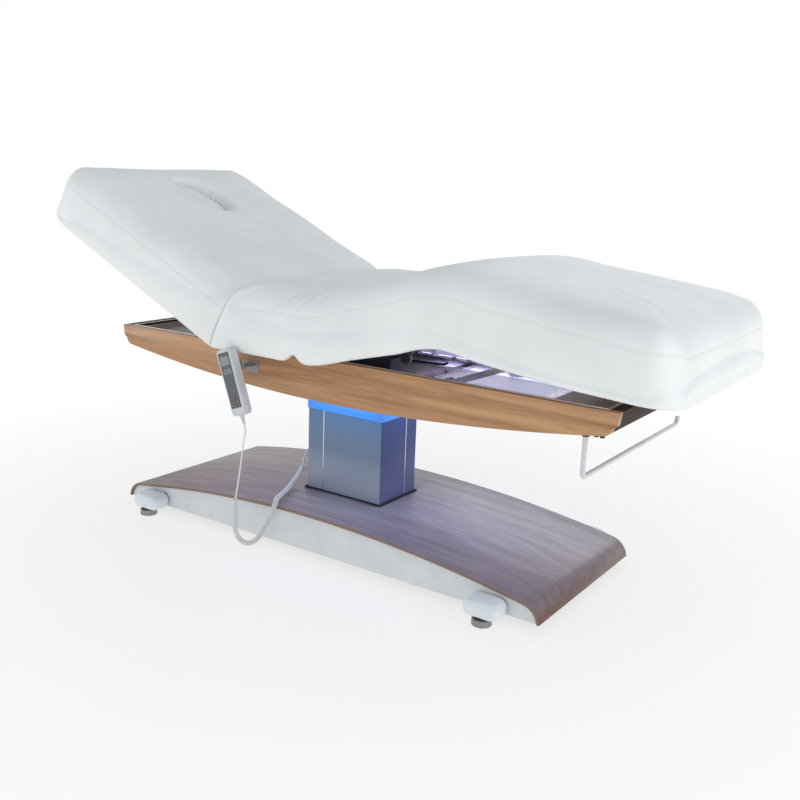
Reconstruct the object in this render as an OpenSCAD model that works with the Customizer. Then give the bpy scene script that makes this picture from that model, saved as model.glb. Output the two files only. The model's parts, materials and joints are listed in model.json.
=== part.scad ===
// Electric facial treatment bed on a lifting column.
// Origin: on the floor under the middle of the whole bed's outline. +X runs to the foot end, +Z is up.
// The shapes are drawn about the centre of the base, and placed() then moves them to the origin.

/* [Base] */
// Length of the base
base_l = 1434; // [1400:2:1460]
// Width of the base
base_w = 546; // [540:2:560]
// Height of the arched cover at mid length
base_h = 128; // [126:1:132]
// Radius of the arch along the base
arch_r = 3840; // [3700:10:4000]
// Radius of the roll at each end of the cover
roll_r = 55; // [50:1:58]
// Thickness of the bent plywood cover
ply = 8; // [6:1:9]
// Gap between the base and the floor
base_gap = 20; // [18:1:22]
// Distance of the feet from the centre, along the base
foot_x = 585; // [575:1:590]
// Distance of the feet from the centre, across the base
foot_y = 312; // [305:1:320]
// Diameter of a foot pad
foot_d = 50; // [44:1:54]

/* [Column] */
// Length of the column section, along the bed
col_l = 262; // [258:1:270]
// Width of the column section, across the bed
col_w = 177; // [174:1:182]
// Centre of the column, along the bed
col_x = -14; // [-20:1:-8]
// Height of the top of the aluminium casing
col_top = 370; // [366:1:374]
// Height of the lit collar
collar_h = 64; // [58:1:70]

/* [Upper frame] */
// Head end of the wooden frame
frame_x0 = -666; // [-670:1:-660]
// Foot end of the wooden frame
frame_x1 = 884; // [878:1:890]
// Width of the wooden frame
frame_w = 640; // [636:2:650]
// Height of the top edge of the wooden frame
frame_z = 576; // [575:1:577]
// Lowest point of the curved lower edge
belly_z = 465; // [464:1:467]
// Radius of the curved lower edge
belly_r = 5000; // [4900:50:5200]
// Place of the lowest point, along the bed
belly_x = 110; // [100:1:120]
// Thickness of the wooden boards
board = 18; // [16:1:20]

/* [Cushions] */
// Width of the cushions
bed_w = 750; // [740:2:780]
// Height of the cushion tops above the hinge line
pad_top = 152; // [145:1:156]
// Length of the backrest
back_len = 730; // [715:1:740]
// Length of the leg rest above the knee
thigh_len = 375; // [375:1:375]
// Length of the leg rest below the knee
calf_len = 550; // [540:1:560]
// Plan radius of the outer cushion corners
corner_r = 40; // [30:1:50]
// Angle of the backrest above level
back_angle = 25; // [25:1:25]
// Angle of the thigh rest above level
thigh_angle = 14; // [14:1:14]
// Angle of the calf rest below level
calf_angle = 7; // [7:1:7]

/* [Handset] */
// Length of the handset
hand_l = 178; // [174:1:182]
// Width of the handset
hand_w = 50; // [48:1:52]
// Thickness of the handset
hand_t = 30; // [29:1:31]
// Lean of the handset from upright
hand_lean = 20; // [18:1:22]

/* [Paper bar] */
// Diameter of the bar
bar_d = 12; // [10:1:13]
// Far end of the bar, across the bed
bar_y = 330; // [320:1:340]
// Place of the bar along the bed
bar_x = 800; // [796:1:804]

/* [Hidden] */
$fn = 48;
play = 0.05;

// Hinge lines, as [x, z] points in the bed's side view
hinge_z = 585;
back_h = [-250, hinge_z];
thigh_h = [85, hinge_z];
knee_h = thigh_h + thigh_len * [cos(thigh_angle), sin(thigh_angle)];
pin_r = 6;
lug_r = 10;
lug_y = 226;
rail = 20;
flat_bar = 7;
deck_t = 12;
deck_w = 690;
deck_gap = 14;
pad_gap = 9;

// Face opening, with its centre's distance from the back hinge
face_s = 512;
hole_l = 218;
hole_w = 138;
back_wedge = 33;
thigh_wedge = 16;

// Base
cross_w = 60;
cross_h = 30;
cross_z = 28;
arch_z = base_h - arch_r;
roll_x = base_l / 2 - roll_r;
roll_z = arch_z + sqrt(pow(arch_r - roll_r, 2) - pow(roll_x, 2));
roll_a = atan2(roll_z - arch_z, roll_x);
panel_t = 4;
panel_in = 6;
plate_z = cross_z + cross_h;
plate_t = 8;
col_z = plate_z + plate_t;

// Column
wall = 4;
slip = 4;
glide_gap = 0.1;
collar_lip = 2.5;
mid_l = col_l - 2 * (wall + slip);
mid_w = col_w - 2 * (wall + slip);
inner_l = mid_l - 2 * (wall + slip);
inner_w = mid_w - 2 * (wall + slip);
mid_top = 462;
inner_top = 487;
lift_r = 30;

// Upper frame
tray_z = 497;
shelf_z = 552;
sheet = 2;
recess_x0 = -440;
recess_x1 = 655;
recess_slope = 30;
end_t = 32;
tray_x0 = frame_x0 + end_t;
tray_x1 = frame_x1 - end_t;
tray_w = frame_w - 2 * board;

// Actuators and links
back_y = -70;
leg_y = 70;
lever_l = 60;
back_lever = -82.5;
leg_lever = -91;
back_pin = [back_h[0] + lever_l * cos(back_lever), 530];
leg_pin = [thigh_h[0] + lever_l * cos(leg_lever), 526];
link_p = [380.6, 537.5];
link_s = 160;
link_d = 30;
link_y = 190;

// Handset
hand_top = [-178, 580];
hand_mid = hand_top + [hand_l / 2 * sin(hand_lean), -hand_l / 2 * cos(hand_lean)] + [8, 0];
hand_y = -400;
shell_t = 2.5;
panel_w = 36;
panel_l = 128;
key_r = 4;
key_travel = 1;
key_stand = 0.6;
key_row = -52;
key_step = 11;
key_places = [[0, key_row + key_step], [0, key_row - key_step], [-key_step, key_row], [key_step, key_row],
    [0, key_row]];

// Cord, from the handset down to the casing
wire_r = 2;
coil_r = 8;
grommet_y = -60;
grommet_z = 241;
straight_path = [[-110, -400, 404], [-103, -400, 384], [-101, -400, 366], [-112, -397, 326],
    [-138, -381, 254], [-160, -367, 200], [-172, -361, 172]];
coil_path = [[-176, -360, 155], [-176, -360, 62], [-168, -358, 44], [-150, -354, 32], [-130, -346, 33],
    [-114, -330, 52], [-104, -300, 96], [-101, -284, 130], [-112, -262, 143], [-135, -213, 140],
    [-158, -160, 138], [-172, -124, 144], [-178, -90, 160], [-176, -74, 185]];
lead_path = [[-172, -68, 220], [-158, -61, 239], [col_x - col_l / 2 - 6.4, grommet_y, grommet_z]];

// Paper bar
bar_y0 = -290;
bar_z = 410;
bar_tip = 430;
bend = 14;

// The bed's outline in plan, about the centre of the base, and its middle
outline_x0 = back_h[0] - back_len * cos(back_angle) + deck_t * sin(back_angle);
outline_x1 = knee_h[0] + calf_len * cos(calf_angle) + pad_top * sin(calf_angle);
outline_y0 = hand_y - hand_t / 2 - key_stand;
outline_y1 = bed_w / 2;
datum = -[outline_x0 + outline_x1, outline_y0 + outline_y1] / 2;

// Moves a shape from the centre of the base to the origin
module placed() {
    translate([datum[0], datum[1], 0]) children();
}

// Points on an arc in the side view
function arc(c, r, a0, a1, n) =
    [for (i = [0 : n]) let (a = a0 + (a1 - a0) * i / n) c + r * [cos(a), sin(a)]];

// Runs a list of points backwards
function flip(p) = [for (i = [len(p) - 1 : -1 : 0]) p[i]];

// The outline of the arched cover, moved in by t
function cover_line(t) = let (a = asin((base_gap - roll_z) / (roll_r - t))) concat(
    arc([roll_x, roll_z], roll_r - t, a, roll_a, 12),
    arc([0, arch_z], arch_r - t, roll_a, 180 - roll_a, 72),
    arc([-roll_x, roll_z], roll_r - t, 180 - roll_a, 180 - a, 12));

// Height of the wooden frame's lower edge
function belly(x) = belly_z + belly_r - sqrt(pow(belly_r, 2) - pow(x - belly_x, 2));

// A side-view shape pushed out across the bed
module across(y0, y1) {
    translate([0, y1, 0]) rotate([90, 0, 0]) linear_extrude(y1 - y0) children();
}

// The same shape on both sides of the bed
module both_sides(y0, y1) {
    across(y0, y1) children();
    across(-y1, -y0) children();
}

// A flat bar with round ends between two side-view points
module strap(p, q, w) {
    d = q - p;
    translate(p) circle(w / 2);
    translate(q) circle(w / 2);
    translate(p) rotate(atan2(d[1], d[0])) translate([0, -w / 2]) square([norm(d), w]);
}

// A rectangle with round corners
module round_rect(l, w, r) {
    square([l - 2 * r, w], center = true);
    square([l, w - 2 * r], center = true);
    for (x = [-1, 1], y = [-1, 1]) translate([x * (l / 2 - r), y * (w / 2 - r)]) circle(r);
}

// A rectangular tube standing on the column's centre line
module column_tube(l, w, t, z0, z1, r) {
    translate([col_x, 0, z0]) linear_extrude(z1 - z0) difference() {
        round_rect(l, w, r);
        square([l - 2 * t, w - 2 * t], center = true);
    }
}

// A round bar from one point to another
module rod(p, q, r) {
    d = q - p;
    translate(p) rotate([0, acos(d[2] / norm(d)), atan2(d[1], d[0])]) cylinder(h = norm(d), r = r);
}

// A cord through a list of points, as straight eight-sided lengths that overlap a little
module cord(points, r) {
    for (i = [0 : len(points) - 2]) {
        d = (points[i + 1] - points[i]) / norm(points[i + 1] - points[i]);
        rod(points[i] - 0.4 * r * d, points[i + 1] + 0.4 * r * d, r, $fn = 8);
    }
}

// Frames that tilt: x runs away from the hinge, z stays square to the deck
module at_back() {
    translate([back_h[0], 0, back_h[1]]) rotate([0, back_angle, 0]) mirror([1, 0, 0]) children();
}
module at_thigh() {
    translate([thigh_h[0], 0, thigh_h[1]]) rotate([0, -thigh_angle, 0]) children();
}
module at_calf() {
    translate([knee_h[0], 0, knee_h[1]]) rotate([0, calf_angle, 0]) children();
}

// A deck's plan, with round corners at the outer end
module end_plan(x0, x1, w, r) {
    translate([x0, -w / 2]) square([x1 - r - x0, w]);
    translate([x0, r - w / 2]) square([x1 - x0, w - 2 * r]);
    for (y = [-1, 1]) translate([x1 - r, y * (w / 2 - r)]) circle(r);
}

// The oval of the face opening
module oval(l, w) {
    polygon([for (a = [0 : 6 : 354]) [l / 2 * cos(a), w / 2 * sin(a)]]);
}

/* Base */

module chassis() {
    color("dimgray") placed() {
        for (x = [-foot_x, foot_x]) difference() {
            translate([x - cross_w / 2, -foot_y - 12, cross_z]) cube([cross_w, 2 * foot_y + 24, cross_h]);
            for (y = [-foot_y, foot_y]) translate([x, y, cross_z - 1])
                cylinder(h = cross_h + 2, r = pin_r + play);
        }
        for (y = [-170, 130])
            translate([cross_w / 2 - foot_x, y, cross_z]) cube([2 * foot_x - cross_w, 40, cross_h]);
        translate([-480, -130, cross_z - 4]) cube([960, 260, 4]);
        difference() {
            translate([col_x - col_l / 2 - 20, -170, plate_z]) cube([col_l + 40, 340, plate_t]);
            for (x = [-1, 1], y = [-1, 1])
                translate([col_x + x * (col_l / 2 + 10), y * (col_w / 2 + 10), plate_z - 1])
                    cylinder(h = plate_t + 2, r = 4.2);
        }
    }
}

module base_cover() {
    color("rosybrown") placed() difference() {
        across(-base_w / 2, base_w / 2) polygon(concat(cover_line(0), flip(cover_line(ply))));
        translate([col_x - col_l / 2 - 1, -col_w / 2 - 1, 90]) cube([col_l + 2, col_w + 2, 60]);
    }
}

module side_panels() {
    y1 = base_w / 2 - panel_in;
    color("gainsboro") placed() difference() {
        both_sides(y1 - panel_t, y1) polygon(cover_line(ply + 0.3));
        for (x = [-foot_x, foot_x])
            translate([x - cross_w / 2 - 1, -base_w, cross_z - 1])
                cube([cross_w + 2, 2 * base_w, cross_h + 2]);
    }
}

// One shoe over the end of a cross tube
module shoe() {
    shoe_l = 110;
    inner = base_w / 2 - panel_in + 0.5;
    outer = foot_y + 22;
    difference() {
        across(inner, outer) polygon(concat(
            [[-shoe_l / 2, 22], [shoe_l / 2, 22], [shoe_l / 2, 46]],
            arc([shoe_l / 2 - 18, 47], 18, 0, 80, 8),
            arc([18 - shoe_l / 2, 47], 18, 100, 180, 8)));
        translate([-cross_w / 2 - 0.5, inner - 1, cross_z - 0.5])
            cube([cross_w + 1, foot_y + 13 - inner, cross_h + 1]);
        translate([0, foot_y, 0]) cylinder(h = 40, r = 9);
        translate([0, outer - 6, 60]) rotate([45, 0, 0]) translate([-60, 0, -20]) cube([120, 30, 60]);
        for (s = [-1, 1]) translate([s * shoe_l / 2, outer, 0]) rotate([0, 0, 45])
            translate([-11, -11, 0]) cube([22, 22, 80]);
    }
}

module foot_shoes() {
    color("white") placed() for (x = [-foot_x, foot_x], s = [0, 1])
        translate([x, 0, 0]) mirror([0, s, 0]) shoe();
}

// A levelling foot: pad, collar and threaded stem
module level_foot(x, y) {
    translate([x, y, 0]) {
        color("gray") placed() cylinder(h = 17, r = foot_d / 2);
        color("black") placed() translate([0, 0, 17]) cylinder(h = 4, r = foot_d / 2 - 3);
        color("silver") placed() translate([0, 0, 20]) cylinder(h = cross_z + cross_h - 22, r = pin_r);
    }
}

module foot_head_near() { level_foot(-foot_x, -foot_y); }
module foot_head_far() { level_foot(-foot_x, foot_y); }
module foot_foot_near() { level_foot(foot_x, -foot_y); }
module foot_foot_far() { level_foot(foot_x, foot_y); }

module control_box() {
    color("black") placed() translate([-460, -100, cross_z + 0.1]) cube([220, 200, 50]);
}

module mains_inlet() {
    color("black") placed() translate([330, base_w / 2 - panel_in - panel_t - 26, 60]) cube([50, 25.9, 26]);
}

/* Lifting column */

module column_outer() {
    groove_x = col_x - col_l / 2 + 0.22 * col_l;
    color("silver") placed() difference() {
        column_tube(col_l, col_w, wall, col_z, col_top, 3);
        for (y = [-1, 1]) translate([groove_x - 2, y * col_w / 2 - 1, col_z - 1]) cube([4, 2, col_top]);
        translate([col_x + col_l / 2 - 1, 0.19 * col_w - 2, col_z - 1]) cube([2, 4, col_top]);
        translate([col_x - col_l / 2 - 1, grommet_y, grommet_z]) rotate([0, 90, 0])
            cylinder(h = 8, r = 6.1);
    }
}

module column_gasket() {
    color("black") placed() difference() {
        translate([0, 0, 116]) column_tube(col_l + 13, col_w + 13, 6, 0, 15, 4);
        across(-base_w / 2, base_w / 2) polygon(cover_line(-0.1));
    }
}

module led_collar() {
    z0 = col_top + 0.05;
    color("deepskyblue") placed()
        column_tube(col_l + 2 * collar_lip, col_w + 2 * collar_lip, 7 + collar_lip, z0, col_top + collar_h, 3);
}

module lift_tube() {
    color("gray") placed() translate([col_x, 0, col_z]) difference() {
        union() {
            cylinder(h = col_top - 30 - col_z, r = lift_r);
            translate([-lift_r - 30, -32, 0]) cube([60, 64, 60]);
        }
        translate([0, 0, 30]) cylinder(h = col_top, r = 20 + play);
    }
}

module cord_grommet() {
    color("white") placed() translate([col_x - col_l / 2 - 5, grommet_y, grommet_z]) rotate([0, 90, 0]) {
        cylinder(h = 5, r = 10);
        cylinder(h = 8.9, r = 6);
    }
}

// The coiled cord drops to the floor, crosses the base and climbs to the grommet
module coil_cord() {
    color("whitesmoke") placed() {
        cord(coil_path, coil_r);
        cord(concat([coil_path[len(coil_path) - 1]], lead_path), wire_r);
    }
}

// The middle and inner stages slide in the casing

module column_middle() {
    color("silver") placed() column_tube(mid_l, mid_w, wall, col_z + 10, mid_top, 3);
}

module column_inner() {
    color("silver") placed() column_tube(inner_l, inner_w, 5, col_z + 20, inner_top, 3);
}

// Slide pads on the lower end of a stage
module glides(l, w, z) {
    t = slip - glide_gap;
    for (s = [-1, 1], k = [-1, 1]) {
        translate([col_x + s * (l / 2 + t / 2), k * w / 4, z]) cube([t, 30, 60], center = true);
        translate([col_x + k * l / 4, s * (w / 2 + t / 2), z]) cube([30, t, 60], center = true);
    }
}

module middle_glides() { color("ivory") placed() glides(mid_l, mid_w, col_z + 50); }

module inner_glides() { color("ivory") placed() glides(inner_l, inner_w, col_z + 60); }

module lift_rod() {
    color("silver") placed() translate([col_x, 0, col_z + 32]) cylinder(h = inner_top - col_z - 32, r = 20);
}

module cord_straight() {
    color("whitesmoke") placed() cord(straight_path, wire_r);
}

/* Upper frame */

module frame_side() {
    polygon(concat([[frame_x0, frame_z], [frame_x0 + 4, frame_z - 30]],
        arc([frame_x0 + 36, belly(frame_x0 + 36) + 22], 22, 190, 255, 6),
        [for (i = [0 : 60]) let (x = frame_x0 + 44 + i * (frame_x1 - frame_x0 - 88) / 60) [x, belly(x)]],
        arc([frame_x1 - 36, belly(frame_x1 - 36) + 22], 22, 285, 350, 6),
        [[frame_x1 - 4, frame_z - 30], [frame_x1, frame_z]]));
}

module side_boards() {
    color("peru") placed() both_sides(frame_w / 2 - board, frame_w / 2) frame_side();
}

module end_boards() {
    color("saddlebrown") placed() across(-tray_w / 2 + 0.1, tray_w / 2 - 0.1) intersection() {
        frame_side();
        union() {
            translate([frame_x0, belly_z]) square([end_t, 200]);
            translate([frame_x1 - end_t, belly_z]) square([end_t, 200]);
        }
    }
}

// Side view of the tray, moved in by t
function tray_line(t) = [
    [tray_x0 + t, 570 + t], [tray_x0 + t, shelf_z + t], [recess_x0 + t, shelf_z + t],
    [recess_x0 + t, tray_z + t], [recess_x1 - t, tray_z + t], [recess_x1 + recess_slope - t, shelf_z + t],
    [tray_x1 - t, shelf_z + t], [tray_x1 - t, 570 + t]];

module tray() {
    w = tray_w / 2 - 0.2;
    color("gray") placed() difference() {
        across(-w, w) polygon(tray_line(0.2));
        across(sheet - w, w - sheet) polygon(tray_line(sheet));
        translate([bar_x, bar_y0, shelf_z - 1]) cylinder(h = 5, r = 5.5);
    }
}

module tray_trim() {
    color("lightgray") placed() translate([0, 0, frame_z + 0.05]) linear_extrude(1.4) difference() {
        translate([tray_x0 - 4, -tray_w / 2 - 4]) square([tray_x1 - tray_x0 + 8, tray_w + 8]);
        translate([tray_x0 + 3, -tray_w / 2 + 3]) square([tray_x1 - tray_x0 - 6, tray_w - 6]);
    }
}

module led_strips() {
    floor_z = tray_z + sheet + 0.1;
    color("mediumpurple") placed() {
        for (s = [-1, 1]) translate([-400, s * 262 - 6, floor_z]) cube([1020, 12, 8]);
        translate([recess_x1 - 30, -230, floor_z]) cube([12, 460, 8]);
    }
}

module top_plate() {
    color("dimgray") placed() translate([col_x - 150, -110, inner_top + 0.05])
        cube([300, 220, tray_z - inner_top]);
}

module support_rails() {
    floor_z = tray_z + sheet + 0.05;
    color("slategray") placed() {
        for (s = [-1, 1]) translate([-420, s * 210 - 15, floor_z]) cube([1040, 30, 16]);
        for (x = [-330, -60, 200, 560]) translate([x, -195, floor_z]) cube([30, 390, 6]);
        for (s = [-1, 1], y = [link_y - 18, link_y - 3]) across(s * y - 3, s * y + 3) difference() {
            union() {
                translate([link_p[0] - 15, floor_z]) square([30, link_p[1] - floor_z]);
                translate(link_p) circle(15);
            }
            translate(link_p) circle(5 + play);
        }
    }
}

// Brackets for the two main hinges, with the rails under the seat
module seat_frame() {
    floor_z = tray_z + sheet + 16.1;
    color("silver") placed() {
        for (h = [back_h, thigh_h]) both_sides(217, 225) difference() {
            union() {
                translate(h) circle(lug_r);
                translate([h[0] - lug_r, floor_z]) square([2 * lug_r, h[1] - floor_z]);
            }
            translate(h) circle(pin_r);
        }
        for (s = [-1, 1]) translate([back_h[0] + 32, s * 221 - 8, hinge_z - rail])
            cube([thigh_h[0] - back_h[0] - 64, 16, rail - 0.1]);
        for (x = [back_h[0] + 50, thigh_h[0] - 80], s = [-1, 1])
            translate([x, s * 221 - 8, floor_z]) cube([30, 16, hinge_z - rail - floor_z]);
    }
}

// Pins of the two main hinges, with a head at each end
module hinge_pins() {
    color("gainsboro") placed() for (h = [back_h, thigh_h]) {
        both_sides(217, 236.5) translate(h) circle(pin_r);
        both_sides(236.5, 239.5) translate(h) circle(9);
        both_sides(213.5, 216.9) translate(h) circle(9);
    }
}

module seat_deck() {
    color("burlywood") placed() translate([back_h[0] + deck_gap, -deck_w / 2, hinge_z])
        cube([thigh_h[0] - back_h[0] - 2 * deck_gap, deck_w, deck_t - 0.1]);
}

module seat_cushion() {
    h = pad_top - deck_t;
    color("white") placed() across(-bed_w / 2, bed_w / 2) translate([0, hinge_z + deck_t]) polygon([
        [back_h[0] + pad_gap, 0], [thigh_h[0] - 5, 0],
        [thigh_h[0] - 5 - h * tan(thigh_wedge), h], [back_h[0] + pad_gap + h * tan(back_wedge), h]]);
}

// Linear drives: a gear housing and tube on the frame, and a rod that slides
module drive_body(p, s, l, y) {
    difference() {
        union() {
            translate([p[0] + s * (l - 60) - 55, y - 24, p[1] - 20]) cube([110, 48, 42]);
            translate([p[0] + s * 105, y, p[1]]) rotate([0, s * 90, 0]) cylinder(h = l - 160, r = 13);
            translate([p[0] + s * (l - 20) - 12, y - 30, tray_z + sheet + 0.1]) cube([24, 60, 12]);
        }
        translate([p[0] + s * 100, y, p[1]]) rotate([0, s * 90, 0]) cylinder(h = l - 190, r = 8 + play);
    }
}

module drive_rod(p, s, y) {
    across(y - 12, y + 12) translate(p) circle(5);
    for (k = [-1, 1]) across(y + k * 9 - 3, y + k * 9 + 3) translate(p) circle(9);
    for (k = [-1, 1]) across(y + k * 9 - 3, y + k * 9 + 3)
        translate(p + [s > 0 ? 0 : -34, -6]) square([34, 12]);
    translate([p[0] + s * 30, y - 12, p[1] - 6]) cube([8, 24, 12]);
    translate([p[0] + s * 34, y, p[1]]) rotate([0, s * 90, 0]) cylinder(h = 110, r = 8);
}

module back_motor() { color("black") placed() drive_body(back_pin, 1, 390, back_y); }
module back_rod() { color("silver") placed() drive_rod(back_pin, 1, back_y); }
module leg_motor() { color("black") placed() drive_body(leg_pin, -1, 350, leg_y); }
module leg_rod() { color("silver") placed() drive_rod(leg_pin, -1, leg_y); }

/* Tilting sections */

// Two rails and cross members under a deck, at y0 and outwards. Past x_thin they are flat bars,
// because the deck lies over the frame's end board when it is level.
module section_frame(x0, x_thin, x1, crosses, y0) {
    for (s = [-1, 1]) {
        y = s > 0 ? y0 : -y0 - rail;
        translate([x0, y, -rail]) cube([x_thin - x0, rail, rail - 0.1]);
        translate([x_thin - 1, y, -flat_bar]) cube([x1 - x_thin + 1, rail, flat_bar - 0.1]);
    }
    for (x = crosses) {
        t = x < x_thin ? rail : flat_bar;
        translate([x, -y0 - 1, -t]) cube([rail, 2 * y0 + 2, t - 0.1]);
    }
}

// A lug on the hinge line, reaching to a rail
module lug(y0, y1, reach, r) {
    both_sides(y0, y1) difference() {
        union() {
            circle(lug_r);
            translate([0, -lug_r]) square([reach, lug_r - 0.1]);
        }
        circle(r + play);
    }
}

// A lever plate from the hinge frame down to a drive pin
module lever(y, a, reach) {
    tip = lever_l * [cos(a), sin(a)];
    across(y - 5, y + 5) difference() {
        union() {
            strap([reach, -12], tip, 18);
            translate(tip) circle(17);
        }
        translate(tip) circle(11);
    }
}

module back_frame() {
    color("slategray") placed() at_back() {
        section_frame(24, 370, 700, [24, 340, 640], lug_y);
        lug(lug_y, lug_y + 10, 30, pin_r);
        lever(back_y, 180 - back_lever - back_angle, 34);
    }
}

module back_deck() {
    color("burlywood") placed() at_back() linear_extrude(deck_t - 0.1) difference() {
        end_plan(deck_gap, back_len - 15, deck_w, corner_r);
        translate([face_s, 0]) oval(hole_l - 38, hole_w - 38);
    }
}

module back_cushion() {
    h = pad_top - deck_t;
    color("white") placed() at_back() translate([0, 0, deck_t]) difference() {
        intersection() {
            linear_extrude(h) end_plan(pad_gap, back_len, bed_w, corner_r);
            across(-bed_w / 2, bed_w / 2)
                polygon([[pad_gap, 0], [back_len, 0], [back_len, h], [pad_gap + h * tan(back_wedge), h]]);
        }
        translate([face_s, 0, -1]) linear_extrude(h + 2) oval(hole_l, hole_w);
    }
}

module face_plug() {
    color("white") placed() at_back() translate([face_s, 0, deck_t]) linear_extrude(pad_top - deck_t - 8)
        oval(hole_l - 2, hole_w - 2);
}

module thigh_frame() {
    color("slategray") placed() at_thigh() {
        section_frame(24, thigh_len - 25, thigh_len - 24, [24, thigh_len - 60], lug_y);
        lug(lug_y, lug_y + 10, 30, pin_r);
        translate([thigh_len, 0, 0]) mirror([1, 0, 0]) lug(lug_y, lug_y + 10, 30, pin_r);
        lever(leg_y, leg_lever - thigh_angle, 34);
        translate([thigh_len, 0, 0]) {
            both_sides(216.5, lug_y + 14) circle(pin_r);
            both_sides(213, 216.5) circle(9);
        }
    }
}

module thigh_deck() {
    color("burlywood") placed() at_thigh() translate([deck_gap, -deck_w / 2, 0])
        cube([thigh_len - 2 * deck_gap, deck_w, deck_t - 0.1]);
}

module thigh_cushion() {
    h = pad_top - deck_t;
    color("white") placed() at_thigh() across(-bed_w / 2, bed_w / 2) translate([0, deck_t])
        polygon([[5, 0], [thigh_len - 1, 0], [thigh_len - 1, h], [5 + h * tan(thigh_wedge), h]]);
}

module calf_frame() {
    bracket_y = link_y - 24;
    bracket_l = 40;
    color("slategray") placed() at_calf() {
        section_frame(26, 375, calf_len - 30, [26, link_s - bracket_l, calf_len - 80], 196);
        lug(217, 225, 40, pin_r);
        both_sides(205, 225) translate([30, -rail]) square([30, rail - 0.1]);
        both_sides(bracket_y - 6, bracket_y) union() {
            translate([link_s - bracket_l, -link_d]) square([bracket_l, link_d - rail + 1]);
            translate([link_s, -link_d]) circle(9);
        }
        both_sides(bracket_y, link_y + 5) translate([link_s, -link_d]) circle(5);
    }
}

module calf_deck() {
    color("burlywood") placed() at_calf() linear_extrude(deck_t - 0.1)
        end_plan(deck_gap, calf_len - 15, deck_w, corner_r);
}

module calf_cushion() {
    color("white") placed() at_calf() translate([0, 0, deck_t]) linear_extrude(pad_top - deck_t)
        end_plan(1, calf_len, bed_w, corner_r);
}

// Links that fold the calf rest as the thigh rest rises, pinned to the frame
module knee_links() {
    link_q = knee_h + [link_s * cos(calf_angle) - link_d * sin(calf_angle),
        -link_s * sin(calf_angle) - link_d * cos(calf_angle)];
    color("gainsboro") placed() {
        both_sides(link_y - 13.8, link_y - 6.2) difference() {
            union() {
                strap(link_p, link_q, 16);
                translate(link_q) circle(14);
            }
            translate(link_q) circle(9);
        }
        both_sides(link_y - 21.5, link_y + 0.5) translate(link_p) circle(5);
    }
}

/* Paper bar and handset */

module bar_sleeve() {
    sleeve_z = 505;
    color("gray") placed() {
        translate([bar_x, bar_y0, sleeve_z]) difference() {
            cylinder(h = shelf_z - sleeve_z + 0.1, r = bar_d / 2 + 3);
            translate([0, 0, -1]) cylinder(h = 60, r = bar_d / 2 + play);
        }
        for (x = [24, 38]) translate([bar_x + x, bar_y0, sleeve_z + 3])
            cylinder(h = shelf_z - sleeve_z - 2.9, r = 5.5);
    }
}

module paper_bar() {
    r = bar_d / 2;
    color("silver") placed() {
        translate([bar_x, bar_y0, bar_z + bend]) cylinder(h = 550 - bar_z - bend, r = r);
        translate([bar_x, bar_y0 + bend, bar_z + bend]) rotate([0, -90, 0]) rotate([0, 0, 180])
            rotate_extrude(angle = 90) translate([bend, 0]) circle(r);
        translate([bar_x, bar_y0 + bend, bar_z]) rotate([-90, 0, 0])
            cylinder(h = bar_y - bar_y0 - 2 * bend, r = r);
        translate([bar_x, bar_y - bend, bar_z + bend]) rotate([0, -90, 0]) rotate([0, 0, 90])
            rotate_extrude(angle = 90) translate([bend, 0]) circle(r);
        translate([bar_x, bar_y, bar_z + bend]) cylinder(h = bar_tip - bar_z - bend, r = r);
    }
}

module handset_rail() {
    color("gray") placed() {
        translate([-168, -379, 530]) cube([40, 379 - frame_w / 2 - 0.1, 3]);
        translate([-168, -379, 530]) cube([40, 3, 22]);
        translate([-168, -frame_w / 2 - 3.1, 510]) cube([40, 3, 30]);
    }
}

// The handset's own axes: x across, y through, z along its length
module at_handset() {
    translate([hand_mid[0], hand_y, hand_mid[1]]) rotate([0, -hand_lean, 0]) children();
}

// Rounded outline of the handset, seen from the front
module hand_shape(inset) {
    round_rect(hand_w - 2 * inset, hand_l - 2 * inset, 10 - inset);
}

module handset_front() {
    color("lightgray") placed() at_handset() difference() {
        rotate([90, 0, 0]) linear_extrude(hand_t / 2) hand_shape(0);
        rotate([90, 0, 0]) linear_extrude(hand_t / 2 - shell_t) hand_shape(shell_t);
        translate([0, 1 - hand_t / 2, 0]) rotate([90, 0, 0]) linear_extrude(2)
            square([panel_w, panel_l], center = true);
        for (p = key_places) translate([p[0], 0, p[1]]) rotate([90, 0, 0])
            cylinder(h = hand_t, r = key_r + 0.3);
    }
}

module handset_back() {
    color("lightgray") placed() {
        at_handset() difference() {
            rotate([-90, 0, 0]) linear_extrude(hand_t / 2) hand_shape(0);
            translate([0, -0.01, 0]) rotate([-90, 0, 0])
                linear_extrude(hand_t / 2 - shell_t) hand_shape(shell_t);
        }
        translate([-174, -386.5, 553.2]) cube([24, 17.5, 3]);
        translate([-174, -372, 538]) cube([24, 3, 16]);
    }
}

module handset_panel() {
    color("dimgray") placed() at_handset() translate([0, 1 - hand_t / 2, 0]) rotate([90, 0, 0])
        linear_extrude(1) difference() {
            square([panel_w - 0.2, panel_l - 0.2], center = true);
            for (p = key_places) translate(p) circle(key_r + 0.3);
        }
}

// A key cap in the panel, with room to travel behind it
module key(i) {
    back_y = key_travel + 1.5 - hand_t / 2;
    color("black") placed() at_handset() translate([key_places[i][0], back_y, key_places[i][1]])
        rotate([90, 0, 0]) cylinder(h = back_y + hand_t / 2 + key_stand, r = key_r);
}

module key_up() { key(0); }
module key_down() { key(1); }
module key_left() { key(2); }
module key_right() { key(3); }
module key_stop() { key(4); }

module cord_boot() {
    color("lightgray") placed() at_handset() translate([-4, 0, -hand_l / 2 - 24]) difference() {
        cylinder(h = 23.9, r = 5);
        translate([0, 0, -1]) cylinder(h = 26, r = wire_r + 1.2);
    }
}

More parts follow.
